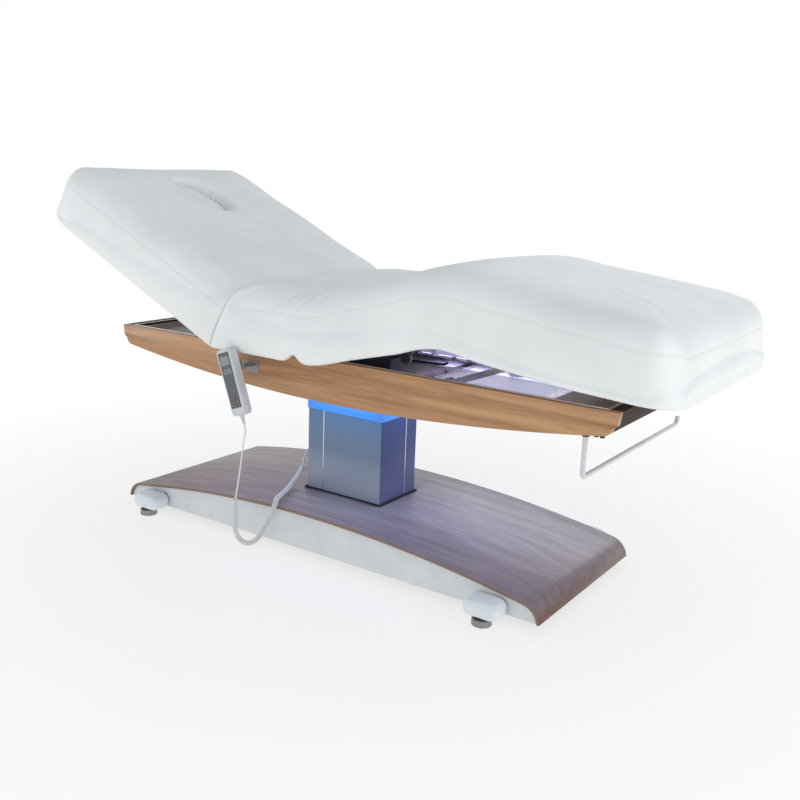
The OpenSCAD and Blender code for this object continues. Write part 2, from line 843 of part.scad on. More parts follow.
chassis();
base_cover();
side_panels();
foot_shoes();
control_box();
mains_inlet();
foot_head_near();
foot_head_far();
foot_foot_near();
foot_foot_far();
column_outer();
column_gasket();
led_collar();
lift_tube();
cord_grommet();
coil_cord();
column_middle();
middle_glides();
cord_straight();
column_inner();
inner_glides();
lift_rod();
top_plate();
support_rails();
seat_frame();
hinge_pins();
seat_deck();
seat_cushion();
side_boards();
end_boards();
tray();
tray_trim();
led_strips();
back_motor();
back_rod();
leg_motor();
leg_rod();
back_frame();
back_deck();
back_cushion();
face_plug();
thigh_frame();
thigh_deck();
thigh_cushion();
calf_frame();
calf_deck();
calf_cushion();
knee_links();
bar_sleeve();
paper_bar();
handset_rail();
handset_front();
handset_back();
handset_panel();
cord_boot();
key_up();
key_down();
key_left();
key_right();
key_stop();
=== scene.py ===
"""Looks of the electric facial treatment bed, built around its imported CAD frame."""
import json
import math

import bmesh
import bpy
import numpy as np
from mathutils import Matrix, Vector


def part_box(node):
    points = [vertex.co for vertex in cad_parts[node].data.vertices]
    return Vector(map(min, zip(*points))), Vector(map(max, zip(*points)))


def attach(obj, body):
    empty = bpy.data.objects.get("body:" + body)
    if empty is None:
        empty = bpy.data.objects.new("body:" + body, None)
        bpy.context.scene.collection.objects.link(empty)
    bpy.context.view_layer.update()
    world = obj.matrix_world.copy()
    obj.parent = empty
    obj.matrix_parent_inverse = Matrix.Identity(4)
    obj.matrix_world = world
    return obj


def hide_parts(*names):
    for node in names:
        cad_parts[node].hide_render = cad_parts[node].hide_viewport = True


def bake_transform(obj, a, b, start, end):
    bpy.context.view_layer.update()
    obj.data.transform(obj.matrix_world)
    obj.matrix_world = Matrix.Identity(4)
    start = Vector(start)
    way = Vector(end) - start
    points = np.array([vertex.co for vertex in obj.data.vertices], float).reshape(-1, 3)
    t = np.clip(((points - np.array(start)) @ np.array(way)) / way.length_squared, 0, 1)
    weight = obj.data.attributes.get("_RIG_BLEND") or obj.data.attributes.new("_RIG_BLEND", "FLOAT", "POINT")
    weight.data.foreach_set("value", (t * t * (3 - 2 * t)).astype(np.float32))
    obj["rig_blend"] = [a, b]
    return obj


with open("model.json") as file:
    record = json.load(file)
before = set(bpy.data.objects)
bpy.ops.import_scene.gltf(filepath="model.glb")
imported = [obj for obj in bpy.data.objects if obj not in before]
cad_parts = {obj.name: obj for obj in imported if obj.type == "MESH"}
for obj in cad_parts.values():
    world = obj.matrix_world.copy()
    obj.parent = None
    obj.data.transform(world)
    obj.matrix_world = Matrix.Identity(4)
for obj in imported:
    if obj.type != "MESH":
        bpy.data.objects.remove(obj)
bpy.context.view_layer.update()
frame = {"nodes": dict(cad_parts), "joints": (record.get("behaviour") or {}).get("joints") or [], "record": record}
JOINTS = {j["name"]: j for j in frame["joints"]}
NODES = frame["nodes"]
SCENE = bpy.context.scene


# ---------------------------------------------------------------- places from the frame

def hinge(name):
    """Place of a joint, as a vector."""
    return Vector(JOINTS[name]["pos_m"])


def centre(node):
    low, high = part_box(node)
    return (low + high) / 2


def from_base(x, y, z):
    """From the middle of the base to the frame."""
    return Vector((BASE.x + x, BASE.y + y, z))


BASE = centre("base_cover")
BACK = hinge("backrest_tilt")
THIGH = hinge("thigh_tilt")
KNEE = hinge("calf_tilt")
BACK_ANGLE = math.radians(25)
THIGH_ANGLE = math.atan2(KNEE.z - THIGH.z, KNEE.x - THIGH.x)
CALF_ANGLE = math.radians(-7)
SEAT_L = THIGH.x - BACK.x
THIGH_L = (KNEE - THIGH).length
CALF_L = 0.565
BACK_L = 0.75
LEG_L = SEAT_L + THIGH_L + CALF_L


# ---------------------------------------------------------------- small tools

def ease(t):
    t = np.clip(t, 0, 1)
    return t * t * (3 - 2 * t)


def link(name, data):
    """A new object in the scene that shows the data."""
    obj = bpy.data.objects.new(name, data)
    SCENE.collection.objects.link(obj)
    return obj


def mesh_object(name, points, faces, smooth=True):
    mesh = bpy.data.meshes.new(name)
    mesh.from_pydata([tuple(map(float, p)) for p in points], [], faces)
    bm = bmesh.new()
    bm.from_mesh(mesh)
    bmesh.ops.remove_doubles(bm, verts=bm.verts, dist=1e-6)
    bmesh.ops.recalc_face_normals(bm, faces=bm.faces)
    bm.to_mesh(mesh)
    bm.free()
    mesh.polygons.foreach_set("use_smooth", [smooth] * len(mesh.polygons))
    return link(name, mesh)


def finish_piece(obj, slot, body=None, replaces=(), look=None):
    """Gives a piece its slot's look, or another one, and fixes it to a body."""
    obj.data.materials.clear()
    obj.data.materials.append(look or MATERIALS[slot])
    if body:
        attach(obj, body)
    if replaces:
        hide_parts(*replaces)
    return obj


def coords(obj):
    co = np.zeros(len(obj.data.vertices) * 3, np.float32)
    obj.data.vertices.foreach_get("co", co)
    return co.reshape(-1, 3).astype(float)


def set_coords(obj, co):
    obj.data.vertices.foreach_set("co", co.astype(np.float32).ravel())
    obj.data.update()


def normals(obj):
    no = np.zeros(len(obj.data.vertices) * 3, np.float32)
    obj.data.vertex_normals.foreach_get("vector", no)
    return no.reshape(-1, 3).astype(float)


def bake(obj):
    """Applies every modifier on obj to its mesh."""
    graph = bpy.context.evaluated_depsgraph_get()
    mesh = bpy.data.meshes.new_from_object(obj.evaluated_get(graph))
    obj.modifiers.clear()
    obj.data = mesh
    return obj


def subdivide(obj, levels=1):
    mod = obj.modifiers.new("subdivide", "SUBSURF")
    mod.levels = levels
    mod.render_levels = levels
    return bake(obj)


def edges(obj, width, segments=3, angle=30):
    """Rounds the sharp edges of a piece or a CAD node with modifiers only."""
    weld = obj.modifiers.new("weld", "WELD")
    weld.merge_threshold = 1e-5
    if width:
        bevel = obj.modifiers.new("bevel", "BEVEL")
        bevel.width = width
        bevel.segments = segments
        bevel.limit_method = "ANGLE"
        bevel.angle_limit = math.radians(angle)
    split = obj.modifiers.new("split", "EDGE_SPLIT")
    split.split_angle = math.radians(angle + 5)
    return obj


def rings_to_faces(rows, size):
    """Quads between rings of points that each close on themselves."""
    faces = []
    for i in range(rows - 1):
        for j in range(size):
            k = (j + 1) % size
            faces.append((i * size + j, i * size + k, (i + 1) * size + k, (i + 1) * size + j))
    return faces


def closed_rings(rows, size):
    """The same with both ends filled in."""
    first = tuple(range(size))[::-1]
    last = tuple((rows - 1) * size + k for k in range(size))
    return rings_to_faces(rows, size) + [first, last]


def lathe(name, profile, place, axis=(0, 0, 1), count=48):
    """Turns (radius, height) points round an axis that starts at place."""
    turn = Vector((0, 0, 1)).rotation_difference(Vector(axis)).to_matrix()
    points = []
    for radius, height in profile:
        for k in range(count):
            a = 2 * math.pi * k / count
            points.append(turn @ Vector((radius * math.cos(a), radius * math.sin(a), height)) + Vector(place))
    return mesh_object(name, points, closed_rings(len(profile), count))


def spline(points, per=12):
    """A smooth line through the points (Catmull-Rom), evenly spaced."""
    p = np.array([points[0]] + list(points) + [points[-1]], float)
    out = []
    for i in range(1, len(p) - 2):
        a, b, c, d = p[i - 1], p[i], p[i + 1], p[i + 2]
        for t in np.linspace(0, 1, per, endpoint=False):
            out.append(0.5 * (2 * b + (c - a) * t + (2 * a - 5 * b + 4 * c - d) * t ** 2
                              + (3 * b - a - 3 * c + d) * t ** 3))
    out.append(p[-2])
    return np.array(out)


def even(line, step):
    run = np.r_[0, np.cumsum(np.linalg.norm(np.diff(line, axis=0), axis=1))]
    count = max(2, int(round(run[-1] / step)))
    at = np.linspace(0, run[-1], count + 1)
    return np.stack([np.interp(at, run, line[:, k]) for k in range(line.shape[1])], axis=1)


def frames_along(line):
    """Two sideways directions at each point of a line, turning as little as possible."""
    t = np.gradient(line, axis=0)
    t /= np.linalg.norm(t, axis=1)[:, None]
    side = np.cross(t[0], (0.3, 1, 0.2))
    us = []
    for d in t:
        side = side - d * (side @ d)
        side /= np.linalg.norm(side)
        us.append(side)
    us = np.array(us)
    return us, np.cross(t, us)


def tube(name, line, radius, sides=8):
    """A round tube along a line, with closed ends. radius is one number or one per point."""
    u, v = frames_along(line)
    r = np.broadcast_to(radius, (len(line),))
    a = 2 * np.pi * np.arange(sides) / sides
    points = line[:, None, :] + r[:, None, None] * (
        np.cos(a)[None, :, None] * u[:, None, :] + np.sin(a)[None, :, None] * v[:, None, :])
    return mesh_object(name, points.reshape(-1, 3), closed_rings(len(line), sides))


def join(name, parts):
    """Joins mesh pieces into one."""
    bm = bmesh.new()
    for part in parts:
        bm.from_mesh(part.data)
    mesh = bpy.data.meshes.new(name)
    bm.to_mesh(mesh)
    bm.free()
    for part in parts:
        bpy.data.objects.remove(part)
    return link(name, mesh)


# ---------------------------------------------------------------- materials

class Look:
    """A material with a Principled shader, built node by node."""

    def __init__(self, name, color, rough=0.5, metal=0.0, **inputs):
        self.mat = bpy.data.materials.new(name)
        self.mat.use_nodes = True
        self.mat.diffuse_color = (*color, 1)
        self.tree = self.mat.node_tree
        self.shader = self.tree.nodes["Principled BSDF"]
        self.set("Base Color", (*color, 1))
        self.set("Roughness", rough)
        self.set("Metallic", metal)
        for key, value in inputs.items():
            self.set(key.replace("_", " "), value)

    def set(self, name, value):
        socket = self.shader.inputs[name]
        if isinstance(value, bpy.types.NodeSocket):
            self.tree.links.new(value, socket)
        else:
            socket.default_value = value
        return self

    def node(self, kind, links=None, **props):
        node = self.tree.nodes.new(kind)
        for key, value in props.items():
            setattr(node, key, value)
        for key, value in (links or {}).items():
            if isinstance(value, bpy.types.NodeSocket):
                self.tree.links.new(value, node.inputs[key])
            else:
                node.inputs[key].default_value = value
        return node

    def place(self, scale=(1, 1, 1), turn=(0, 0, 0)):
        coord = self.node("ShaderNodeTexCoord")
        return self.node("ShaderNodeMapping", {"Vector": coord.outputs["Object"], "Scale": scale,
                                               "Rotation": turn}).outputs[0]

    def axis(self, name):
        coord = self.node("ShaderNodeTexCoord")
        return self.node("ShaderNodeSeparateXYZ", {"Vector": coord.outputs["Object"]}).outputs[name]

    def noise(self, vector, scale, detail=3.0, rough=0.5, bend=0.0):
        return self.node("ShaderNodeTexNoise", {"Vector": vector, "Scale": scale, "Detail": detail,
                                                "Roughness": rough, "Distortion": bend}).outputs["Fac"]

    def cells(self, vector, scale, feature="F1"):
        return self.node("ShaderNodeTexVoronoi", {"Vector": vector, "Scale": scale},
                         feature=feature).outputs["Distance"]

    def math(self, how, a, b=0.0, c=None, clamp=False):
        links = {0: a, 1: b}
        if c is not None:
            links[2] = c
        return self.node("ShaderNodeMath", links, operation=how, use_clamp=clamp).outputs[0]

    def scaled(self, value, low, high, to_low=0.0, to_high=1.0):
        return self.node("ShaderNodeMapRange", {"Value": value, "From Min": low, "From Max": high,
                                                "To Min": to_low, "To Max": to_high}).outputs[0]

    def ramp(self, value, stops):
        node = self.node("ShaderNodeValToRGB", {"Fac": value})
        band = node.color_ramp
        while len(band.elements) < len(stops):
            band.elements.new(0.5)
        for element, (at, color) in zip(band.elements, stops):
            element.position = at
            element.color = (*color, 1)
        return node.outputs["Color"]

    def mix(self, share, a, b, how="MIX"):
        node = self.node("ShaderNodeMix", {0: share}, data_type="RGBA", blend_type=how)
        for index, value in ((6, a), (7, b)):
            if isinstance(value, bpy.types.NodeSocket):
                self.tree.links.new(value, node.inputs[index])
            else:
                node.inputs[index].default_value = (*value, 1)
        return node.outputs[2]

    def bump(self, height, strength, depth=0.001):
        node = self.node("ShaderNodeBump", {"Height": height, "Strength": strength, "Distance": depth})
        self.tree.links.new(node.outputs[0], self.shader.inputs["Normal"])
        return self


def leather(name, color, grain=950.0):
    """Soft white synthetic leather: fine pebble grain, faint blotches, a little sheen."""
    look = Look(name, color, 0.46, Specular_IOR_Level=0.45)
    at = look.place()
    blotch = look.noise(at, 7.0, 3.0)
    dark = tuple(c * 0.93 for c in color)
    look.set("Base Color", look.mix(look.scaled(blotch, 0.3, 0.7), dark, color))
    look.set("Roughness", look.scaled(look.noise(at, 160.0, 2.0), 0.2, 0.8, 0.38, 0.52))
    pebble = look.cells(at, grain)
    pores = look.noise(at, grain * 1.7, 2.0)
    height = look.math("ADD", look.math("MULTIPLY", pebble, -0.7), look.math("MULTIPLY", pores, 0.5))
    look.set("Sheen Weight", 0.08)
    look.bump(height, 0.16, 0.0006)
    return look.mat


def wood(name, dark, mid, pale, grain=(1.2, 26, 26), rough=0.42, coat=0.0, figure=0.35):
    """Veneer or solid wood with grain along X: pores, streaks and slow bands of figure."""
    look = Look(name, mid, rough, Specular_IOR_Level=0.4)
    at = look.place(grain)
    slow = look.place(tuple(g * 0.28 for g in grain))
    streak = look.noise(at, 1.6, 8.0, 0.68, 0.5)
    rings = look.node("ShaderNodeTexWave", {"Vector": slow, "Scale": 1.1, "Distortion": 7.0, "Detail": 3.0,
                                            "Detail Scale": 1.4}, bands_direction="Z").outputs["Fac"]
    pore_at = look.place((grain[0] * 7, grain[1] * 16, grain[2] * 16))
    pore = look.scaled(look.noise(pore_at, 1.0, 2.0), 0.60, 0.74)
    base = look.ramp(look.scaled(streak, 0.3, 0.72), [(0.0, dark), (0.45, mid), (1.0, pale)])
    figured = look.mix(look.math("MULTIPLY", rings, figure), base, dark)
    inked = look.mix(look.math("MULTIPLY", pore, 0.45), figured, tuple(c * 0.55 for c in dark))
    look.set("Base Color", inked)
    look.set("Roughness", look.scaled(streak, 0.2, 0.8, rough + 0.08, rough - 0.06))
    look.set("Coat Weight", coat)
    look.set("Coat Roughness", 0.22)
    sunk, raised = look.math("MULTIPLY", pore, -1.0), look.math("MULTIPLY", streak, 0.4)
    look.bump(look.math("ADD", sunk, raised), 0.18, 0.0005)
    return look


def painted(name, color, rough=0.4, peel=0.06, spec=0.5, coat=0.0):
    """Powder coat or moulded plastic: orange peel, slight mottling, worn softer where it is rough."""
    look = Look(name, color, rough, Specular_IOR_Level=spec, Coat_Weight=coat)
    at = look.place()
    mottle = look.noise(at, 22.0, 4.0)
    look.set("Base Color", look.mix(look.scaled(mottle, 0.3, 0.7), tuple(c * 0.92 for c in color), color))
    look.set("Roughness", look.scaled(look.noise(at, 60.0, 3.0), 0.25, 0.75, rough - 0.06, rough + 0.08))
    look.bump(look.noise(at, 700.0, 2.0), peel, 0.0004)
    return look.mat


def metal(name, color, rough=0.3, along=(1, 1, 60), brush=0.12, metallic=1.0):
    """Bare metal with fine brushing across one axis."""
    look = Look(name, color, rough, metallic)
    lines = look.noise(look.place(along), 30.0, 6.0, 0.7)
    look.set("Base Color", look.mix(look.scaled(lines, 0.3, 0.7), tuple(c * 0.86 for c in color), color))
    look.set("Roughness", look.scaled(lines, 0.2, 0.8, rough - 0.07, rough + 0.1))
    look.bump(lines, brush, 0.0003)
    return look.mat


def rubber(name, color, rough=0.75):
    look = Look(name, color, rough, Specular_IOR_Level=0.3)
    at = look.place()
    dust = look.noise(at, 45.0, 5.0, 0.65)
    pale = tuple(min(1, c * 1.7 + 0.01) for c in color)
    look.set("Base Color", look.mix(look.scaled(dust, 0.35, 0.8), color, pale))
    look.bump(look.noise(at, 1300.0, 2.0), 0.2, 0.0004)
    return look.mat


def glowing(name, color, strength, rough=0.3):
    """A lit diffuser, slightly mottled."""
    look = Look(name, color, rough)
    mottle = look.scaled(look.noise(look.place(), 40.0, 2.0), 0.2, 0.8, 0.85, 1.1)
    look.set("Emission Color", (*color, 1))
    look.set("Emission Strength", look.math("MULTIPLY", mottle, strength))
    return look


def column_look():
    """Satin aluminium under the lit collar, with painted light: painted blue light from the collar, bluer toward
    the top, painted shade on the side turned from the light, and a faint painted blue glow toward the top.
    """
    look = Look("column_aluminium", (0.2, 0.25, 0.33), 0.38, 0.55)
    low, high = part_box("column_outer")
    height = look.scaled(look.axis("Z"), low.z + 0.1, high.z)
    lines = look.noise(look.place((140, 140, 2.0)), 9.0, 5.0, 0.7)
    # near: tone of the faces turned to the light, with painted blue light from the collar that grows toward the
    # top.
    near = look.ramp(height, [(0.0, (0.38, 0.43, 0.53)), (0.45, (0.165, 0.215, 0.30)),
                              (1.0, (0.090, 0.165, 0.255))])
    # shade: painted shade on the foot-side face, turned from the light, also bluer toward the top.
    shade = look.ramp(height, [(0.0, (0.115, 0.140, 0.30)), (0.5, (0.036, 0.048, 0.16)),
                               (1.0, (0.008, 0.022, 0.12))])
    geometry = look.node("ShaderNodeNewGeometry")
    turned = look.node("ShaderNodeSeparateXYZ", {"Vector": geometry.outputs["Normal"]}).outputs["X"]
    # Painted light and painted shade, chosen by which way each face turns.
    tone = look.mix(look.scaled(turned, 0.25, 0.85), near, shade)
    brushed = look.scaled(lines, 0.25, 0.75, 0.0, 0.10)
    look.set("Base Color", look.mix(brushed, tone, (0.5, 0.55, 0.62)))
    look.set("Roughness", look.scaled(lines, 0.2, 0.8, 0.34, 0.46))
    # Painted glow: a faint blue emission rising toward the top, though the casing is no lamp.
    look.set("Emission Color", (0.05, 0.26, 0.75, 1))
    look.set("Emission Strength", look.math("MULTIPLY", look.math("POWER", height, 3.0), 0.06))
    look.bump(lines, 0.08, 0.0003)
    return look.mat


def base_cover_look():
    """Bent plywood with a walnut face veneer; the laminations show on its cut edges. A painted reflection and
    painted violet light lighten the top and tint it lavender along the length, while the rolled ends keep a darker
    warm brown.
    """
    look = wood("walnut_veneer", (0.27, 0.20, 0.180), (0.375, 0.290, 0.278), (0.46, 0.37, 0.365),
                (1.0, 22, 22), 0.36, 0.35, 0.28)
    plain = look.shader.inputs["Base Color"].links[0].from_socket
    low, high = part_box("base_cover")
    # Painted reflection and violet light on the top, as a multiplier along the length: dimmer and warmer at the
    # head, brightest in the middle, bluer toward the foot.
    lit = look.ramp(look.scaled(look.axis("X"), low.x, high.x),
                    [(0.0, (0.64, 0.60, 0.58)), (0.3, (0.86, 0.85, 0.92)), (0.5, (0.95, 0.98, 1.0)),
                     (0.75, (0.70, 0.79, 1.0)), (1.0, (0.66, 0.70, 0.88))])
    # The rolled ends near the bottom get the plain veneer times a warm brown instead, with no painted reflection.
    rolled = look.scaled(look.axis("Z"), low.z + 0.052, low.z + 0.012)
    veneer = look.mix(rolled, look.mix(1.0, plain, lit, "MULTIPLY"),
                      look.mix(1.0, plain, (0.34, 0.20, 0.14), "MULTIPLY"))
    arch = 3.84
    coord = look.node("ShaderNodeTexCoord")
    flat = look.node("ShaderNodeVectorMath", {0: coord.outputs["Object"], 1: (1, 0, 1)}, operation="MULTIPLY")
    spot = look.node("ShaderNodeVectorMath", {0: flat.outputs[0], 1: (BASE.x, 0, high.z - arch)},
                     operation="SUBTRACT")
    far = look.node("ShaderNodeVectorMath", {0: spot.outputs[0]}, operation="LENGTH").outputs["Value"]
    layer = look.math("FRACT", look.math("MULTIPLY", far, 1 / 0.0027))
    ply = look.mix(look.scaled(layer, 0.4, 0.6), (0.29, 0.195, 0.12), (0.14, 0.085, 0.052))
    geometry = look.node("ShaderNodeNewGeometry")
    side = look.node("ShaderNodeSeparateXYZ", {"Vector": geometry.outputs["Normal"]}).outputs["Y"]
    edge = look.math("GREATER_THAN", look.math("ABSOLUTE", side), 0.8)
    look.set("Base Color", look.mix(edge, veneer, ply))
    return look.mat


WHITE = (0.80, 0.825, 0.83)
MATERIALS = {
    "white_leather": leather("white_leather", WHITE),
    "oak": wood("oak", (0.26, 0.125, 0.052), (0.46, 0.245, 0.115), (0.60, 0.36, 0.19), (1.3, 24, 24), 0.42,
                0.15, 0.30).mat,
    # dark_oak: a dark stain made near black, with painted shade from the overhanging pads in it.
    "dark_oak": wood("dark_oak", (0.018, 0.009, 0.006), (0.040, 0.021, 0.014), (0.070, 0.038, 0.026),
                     (14, 1.2, 14), 0.6, 0.0, 0.3).mat,
    "walnut_veneer": base_cover_look(),
    "plywood": wood("plywood", (0.42, 0.28, 0.15), (0.58, 0.42, 0.26), (0.68, 0.53, 0.36),
                    (1.5, 14, 60), 0.6).mat,
    "panel_white": painted("panel_white", (0.66, 0.69, 0.70), 0.38, 0.05),
    "shoe_white": painted("shoe_white", (0.72, 0.78, 0.82), 0.33, 0.04, coat=0.15),
    "foot_rubber": rubber("foot_rubber", (0.20, 0.215, 0.205), 0.6),
    "frame_steel": painted("frame_steel", (0.30, 0.32, 0.34), 0.45, 0.1),
    "bright_steel": metal("bright_steel", (0.72, 0.73, 0.75), 0.25),
    "column_aluminium": column_look(),
    "tray_metal": metal("tray_metal", (0.50, 0.51, 0.55), 0.45, (40, 1, 40), 0.06, 0.35),
    "trim_metal": metal("trim_metal", (0.80, 0.78, 0.73), 0.28, (1, 40, 40), 0.05),
    "black_rubber": rubber("black_rubber", (0.018, 0.018, 0.020)),
    "led_diffuser": glowing("led_diffuser", (0.04, 0.19, 0.52), 0.45).mat,
    "led_strip": glowing("led_strip", (0.74, 0.68, 0.98), 2.2).mat,
    "motor_black": painted("motor_black", (0.085, 0.095, 0.125), 0.45, 0.2),
    "glide_plastic": painted("glide_plastic", (0.75, 0.73, 0.66), 0.5),
    "bar_metal": painted("bar_metal", (0.62, 0.65, 0.68), 0.3, 0.03, coat=0.3),
    "handset_grey": painted("handset_grey", (0.62, 0.645, 0.67), 0.38, 0.12),
    "keypad_film": painted("keypad_film", (0.105, 0.115, 0.125), 0.3, 0.05),
    "key_plastic": painted("key_plastic", (0.03, 0.03, 0.033), 0.4, 0.05),
    "cord_white": painted("cord_white", (0.70, 0.71, 0.70), 0.4, 0.05),
    "black_plastic": painted("black_plastic", (0.022, 0.022, 0.024), 0.45, 0.15),
}
# The seam cord is a little darker than the leather, as painted shade along the sunk seam.
MATERIALS["seam"] = painted("seam", (0.71, 0.735, 0.745), 0.6)
THREAD = painted("thread", (0.76, 0.78, 0.79), 0.6)
MARK = painted("key_mark", (0.62, 0.66, 0.66), 0.4)


def dress_frame():
    """Every CAD node gets its slot's material and softened edges."""
    slots = {part["node"]: part["material_slot"] for part in frame["record"]["subparts"]}
    slots["handset_rail"] = "frame_steel"
    bevels = {"base_cover": 0.0012, "side_panels": 0.0008, "side_boards": 0.0022, "end_boards": 0.0015,
              "column_outer": 0.0, "led_collar": 0.0006, "tray": 0.0008, "tray_trim": 0.0003,
              "top_plate": 0.001, "seat_deck": 0.001, "thigh_deck": 0.001, "handset_rail": 0.0006}
    for name, obj in NODES.items():
        imported = obj.data.attributes.get("custom_normal")
        if imported:
            obj.data.attributes.remove(imported)
        obj.data.polygons.foreach_set("use_smooth", [True] * len(obj.data.polygons))
        if not obj.material_slots:
            obj.data.materials.append(None)
        for slot in obj.material_slots:
            slot.link = "OBJECT"
            slot.material = MATERIALS[slots[name]]
        edges(obj, bevels.get(name, 0.0), 2)


# ---------------------------------------------------------------- the upholstered pads

HALF_W = 0.375
TOP = 0.150
LOW = -0.018
DECK = 0.0128
EDGE_R = 0.058
BACK_END = 0.036
BACK_CROWN = 0.018
BACK_CORNER = 0.036
LEG_CORNER = 0.032
END_LEAN = 1.4
SWELL = 3.0
SWELL_CAP = 0.006
LOW_R = 0.010
SEAM_R = 0.006
SEAM_GAP = 0.0010
CROWN = 0.013
BULGE = 0.005
ACROSS = 84
UP = 20


def resample(y, n, count):
    run = np.r_[0, np.cumsum(np.hypot(np.diff(y), np.diff(n)))]
    at = np.linspace(0, run[-1], count + 1)
    return np.interp(at, run, y), np.interp(at, run, n)


def section(inset, deck, high=TOP):
    """One closed cross-section of a pad, as arrays of y and n."""
    w = HALF_W - inset
    r = max(EDGE_R - inset, 0.002)
    t = high - inset
    a = np.linspace(0, math.pi / 2, 24)
    inner = np.linspace(-(w - 0.0285), w - 0.0285, ACROSS - 3)
    under_y = np.r_[-(w - LOW_R), -(w - 0.025), inner, w - 0.025, w - LOW_R]
    under_n = np.r_[LOW, LOW, np.full(len(inner), deck), LOW, LOW]
    side_y = np.r_[w - LOW_R + LOW_R * np.sin(a), w]
    side_n = np.r_[LOW + LOW_R - LOW_R * np.cos(a), t - r]
    side_y, side_n = resample(side_y, side_n, UP)
    share = np.clip((side_n - LOW) / (t - r - LOW + 1e-9), 0, 1)
    side_y = side_y + BULGE * np.sin(math.pi * share) * (1 - inset / EDGE_R)
    top_y = np.r_[w - r + r * np.cos(a), -(w - r) - r * np.sin(a)]
    top_n = np.r_[t - r + r * np.sin(a), t - r + r * np.cos(a)]
    top_y, top_n = resample(top_y, top_n, ACROSS)
    y = np.r_[under_y, side_y[1:-1], top_y, -side_y[-2:0:-1]]
    n = np.r_[under_n, side_n[1:-1], top_n, side_n[-2:0:-1]]
    return y, n


def stations(length, end=EDGE_R, step=0.0085):
    """Places along a pad, each with how far its outline is drawn in for the rolls at both ends."""
    rows = [(SEAM_R * (1 - math.cos(a)), SEAM_R * (1 - math.sin(a))) for a in np.linspace(0, math.pi / 2, 4)]
    start, stop = SEAM_R, length - end
    count = int(round((stop - start) / step))
    rows += [(start + (stop - start) * k / count, 0.0) for k in range(1, count + 1)]
    rows += [(stop + end * math.sin(a), end * (1 - math.cos(a))) for a in np.linspace(0, math.pi / 2, 12)[1:]]
    return rows


def flat_pad(name, length, end=EDGE_R, narrowing=0.0):
    """A pad laid flat: a closed grid of quads from the seam at 0 to the outer end at length."""
    rows = stations(length, end)
    points = []
    for s, inset in rows:
        y, n = section(inset, LOW if s > length - 0.013 else DECK)
        y = y * (1 - narrowing / HALF_W * max(0.0, (s - length + 0.1) / 0.1) ** 2)
        points.append(np.stack([np.full(len(y), s), y, n], axis=1))
    size = len(points[0])
    points = np.concatenate(points)
    faces = rings_to_faces(len(rows), size)
    extra = []
    for row in (0, len(rows) - 1):
        first = row * size
        grid = np.zeros((ACROSS + 1, UP + 1), int)
        grid[:, 0] = first + np.arange(ACROSS + 1)
        grid[ACROSS, 1:UP] = first + ACROSS + 1 + np.arange(UP - 1)
        grid[:, UP] = first + ACROSS + UP + np.arange(ACROSS + 1)[::-1]
        grid[0, 1:UP] = first + 2 * ACROSS + UP + 1 + np.arange(UP - 1)[::-1]
        for i in range(1, ACROSS):
            for j in range(1, UP):
                a, b = points[grid[i, 0]], points[grid[i, UP]]
                grid[i, j] = len(points) + len(extra)
                extra.append(a + (b - a) * j / UP)
        faces += [(grid[i, j], grid[i + 1, j], grid[i + 1, j + 1], grid[i, j + 1])
                  for i in range(ACROSS) for j in range(UP)]
    points = np.concatenate([points, np.array(extra)])
    mesh = bpy.data.meshes.new(name)
    mesh.from_pydata(points.tolist(), [], [tuple(int(k) for k in f) for f in faces])
    bm = bmesh.new()
    bm.from_mesh(mesh)
    bmesh.ops.recalc_face_normals(bm, faces=bm.faces)
    bm.to_mesh(mesh)
    bm.free()
    mesh.polygons.foreach_set("use_smooth", [True] * len(mesh.polygons))
    return link(name, mesh)


def topness(n):
    """0 on the side walls, rising to 1 on the flat of the top."""
    return ease((n - (TOP - EDGE_R)) / EDGE_R)


def puff(obj, pressure, cap):
    """Cloth simulation: the cover swells like foam under leather, held at the underside and the seam."""
    rest = coords(obj)
    below = (np.abs(rest[:, 1]) < HALF_W - 0.02) & (rest[:, 2] < DECK + 0.002)
    fixed = (rest[:, 2] < LOW + 0.012) | (rest[:, 0] < SEAM_R * 0.5) | below
    held = [int(k) for k in np.where(fixed)[0]]
    group = obj.vertex_groups.new(name="held")
    group.add(held, 1.0, "REPLACE")
    mod = obj.modifiers.new("cloth", "CLOTH")
    cloth = mod.settings
    cloth.quality = 4
    cloth.mass = 0.3
    cloth.tension_stiffness = 12
    cloth.compression_stiffness = 12
    cloth.shear_stiffness = 5
    cloth.bending_stiffness = 1.5
    cloth.use_pressure = True
    cloth.uniform_pressure_force = pressure
    cloth.effector_weights.gravity = 0
    cloth.vertex_group_mass = "held"
    mod.collision_settings.use_collision = False
    mod.point_cache.frame_start = 1
    mod.point_cache.frame_end = 20
    for number in range(1, 21):
        SCENE.frame_set(number)
    graph = bpy.context.evaluated_depsgraph_get()
    swollen = obj.evaluated_get(graph).to_mesh()
    co = np.zeros(len(rest) * 3, np.float32)
    swollen.vertices.foreach_get("co", co)
    move = co.reshape(-1, 3) - rest
    reach = np.linalg.norm(move, axis=1)[:, None] + 1e-9
    obj.modifiers.clear()
    obj.vertex_groups.clear()
    SCENE.frame_set(1)
    set_coords(obj, rest + move * np.minimum(1, cap / reach))
    return obj


def lean(co, far=0.26):
    """Leans the seat's seam end over to lie against the backrest's square end."""
    out = co.copy()
    out[:, 0] += co[:, 2] * math.tan(BACK_ANGLE) * (1 - ease(co[:, 0] / far)) + SEAM_GAP
    return out


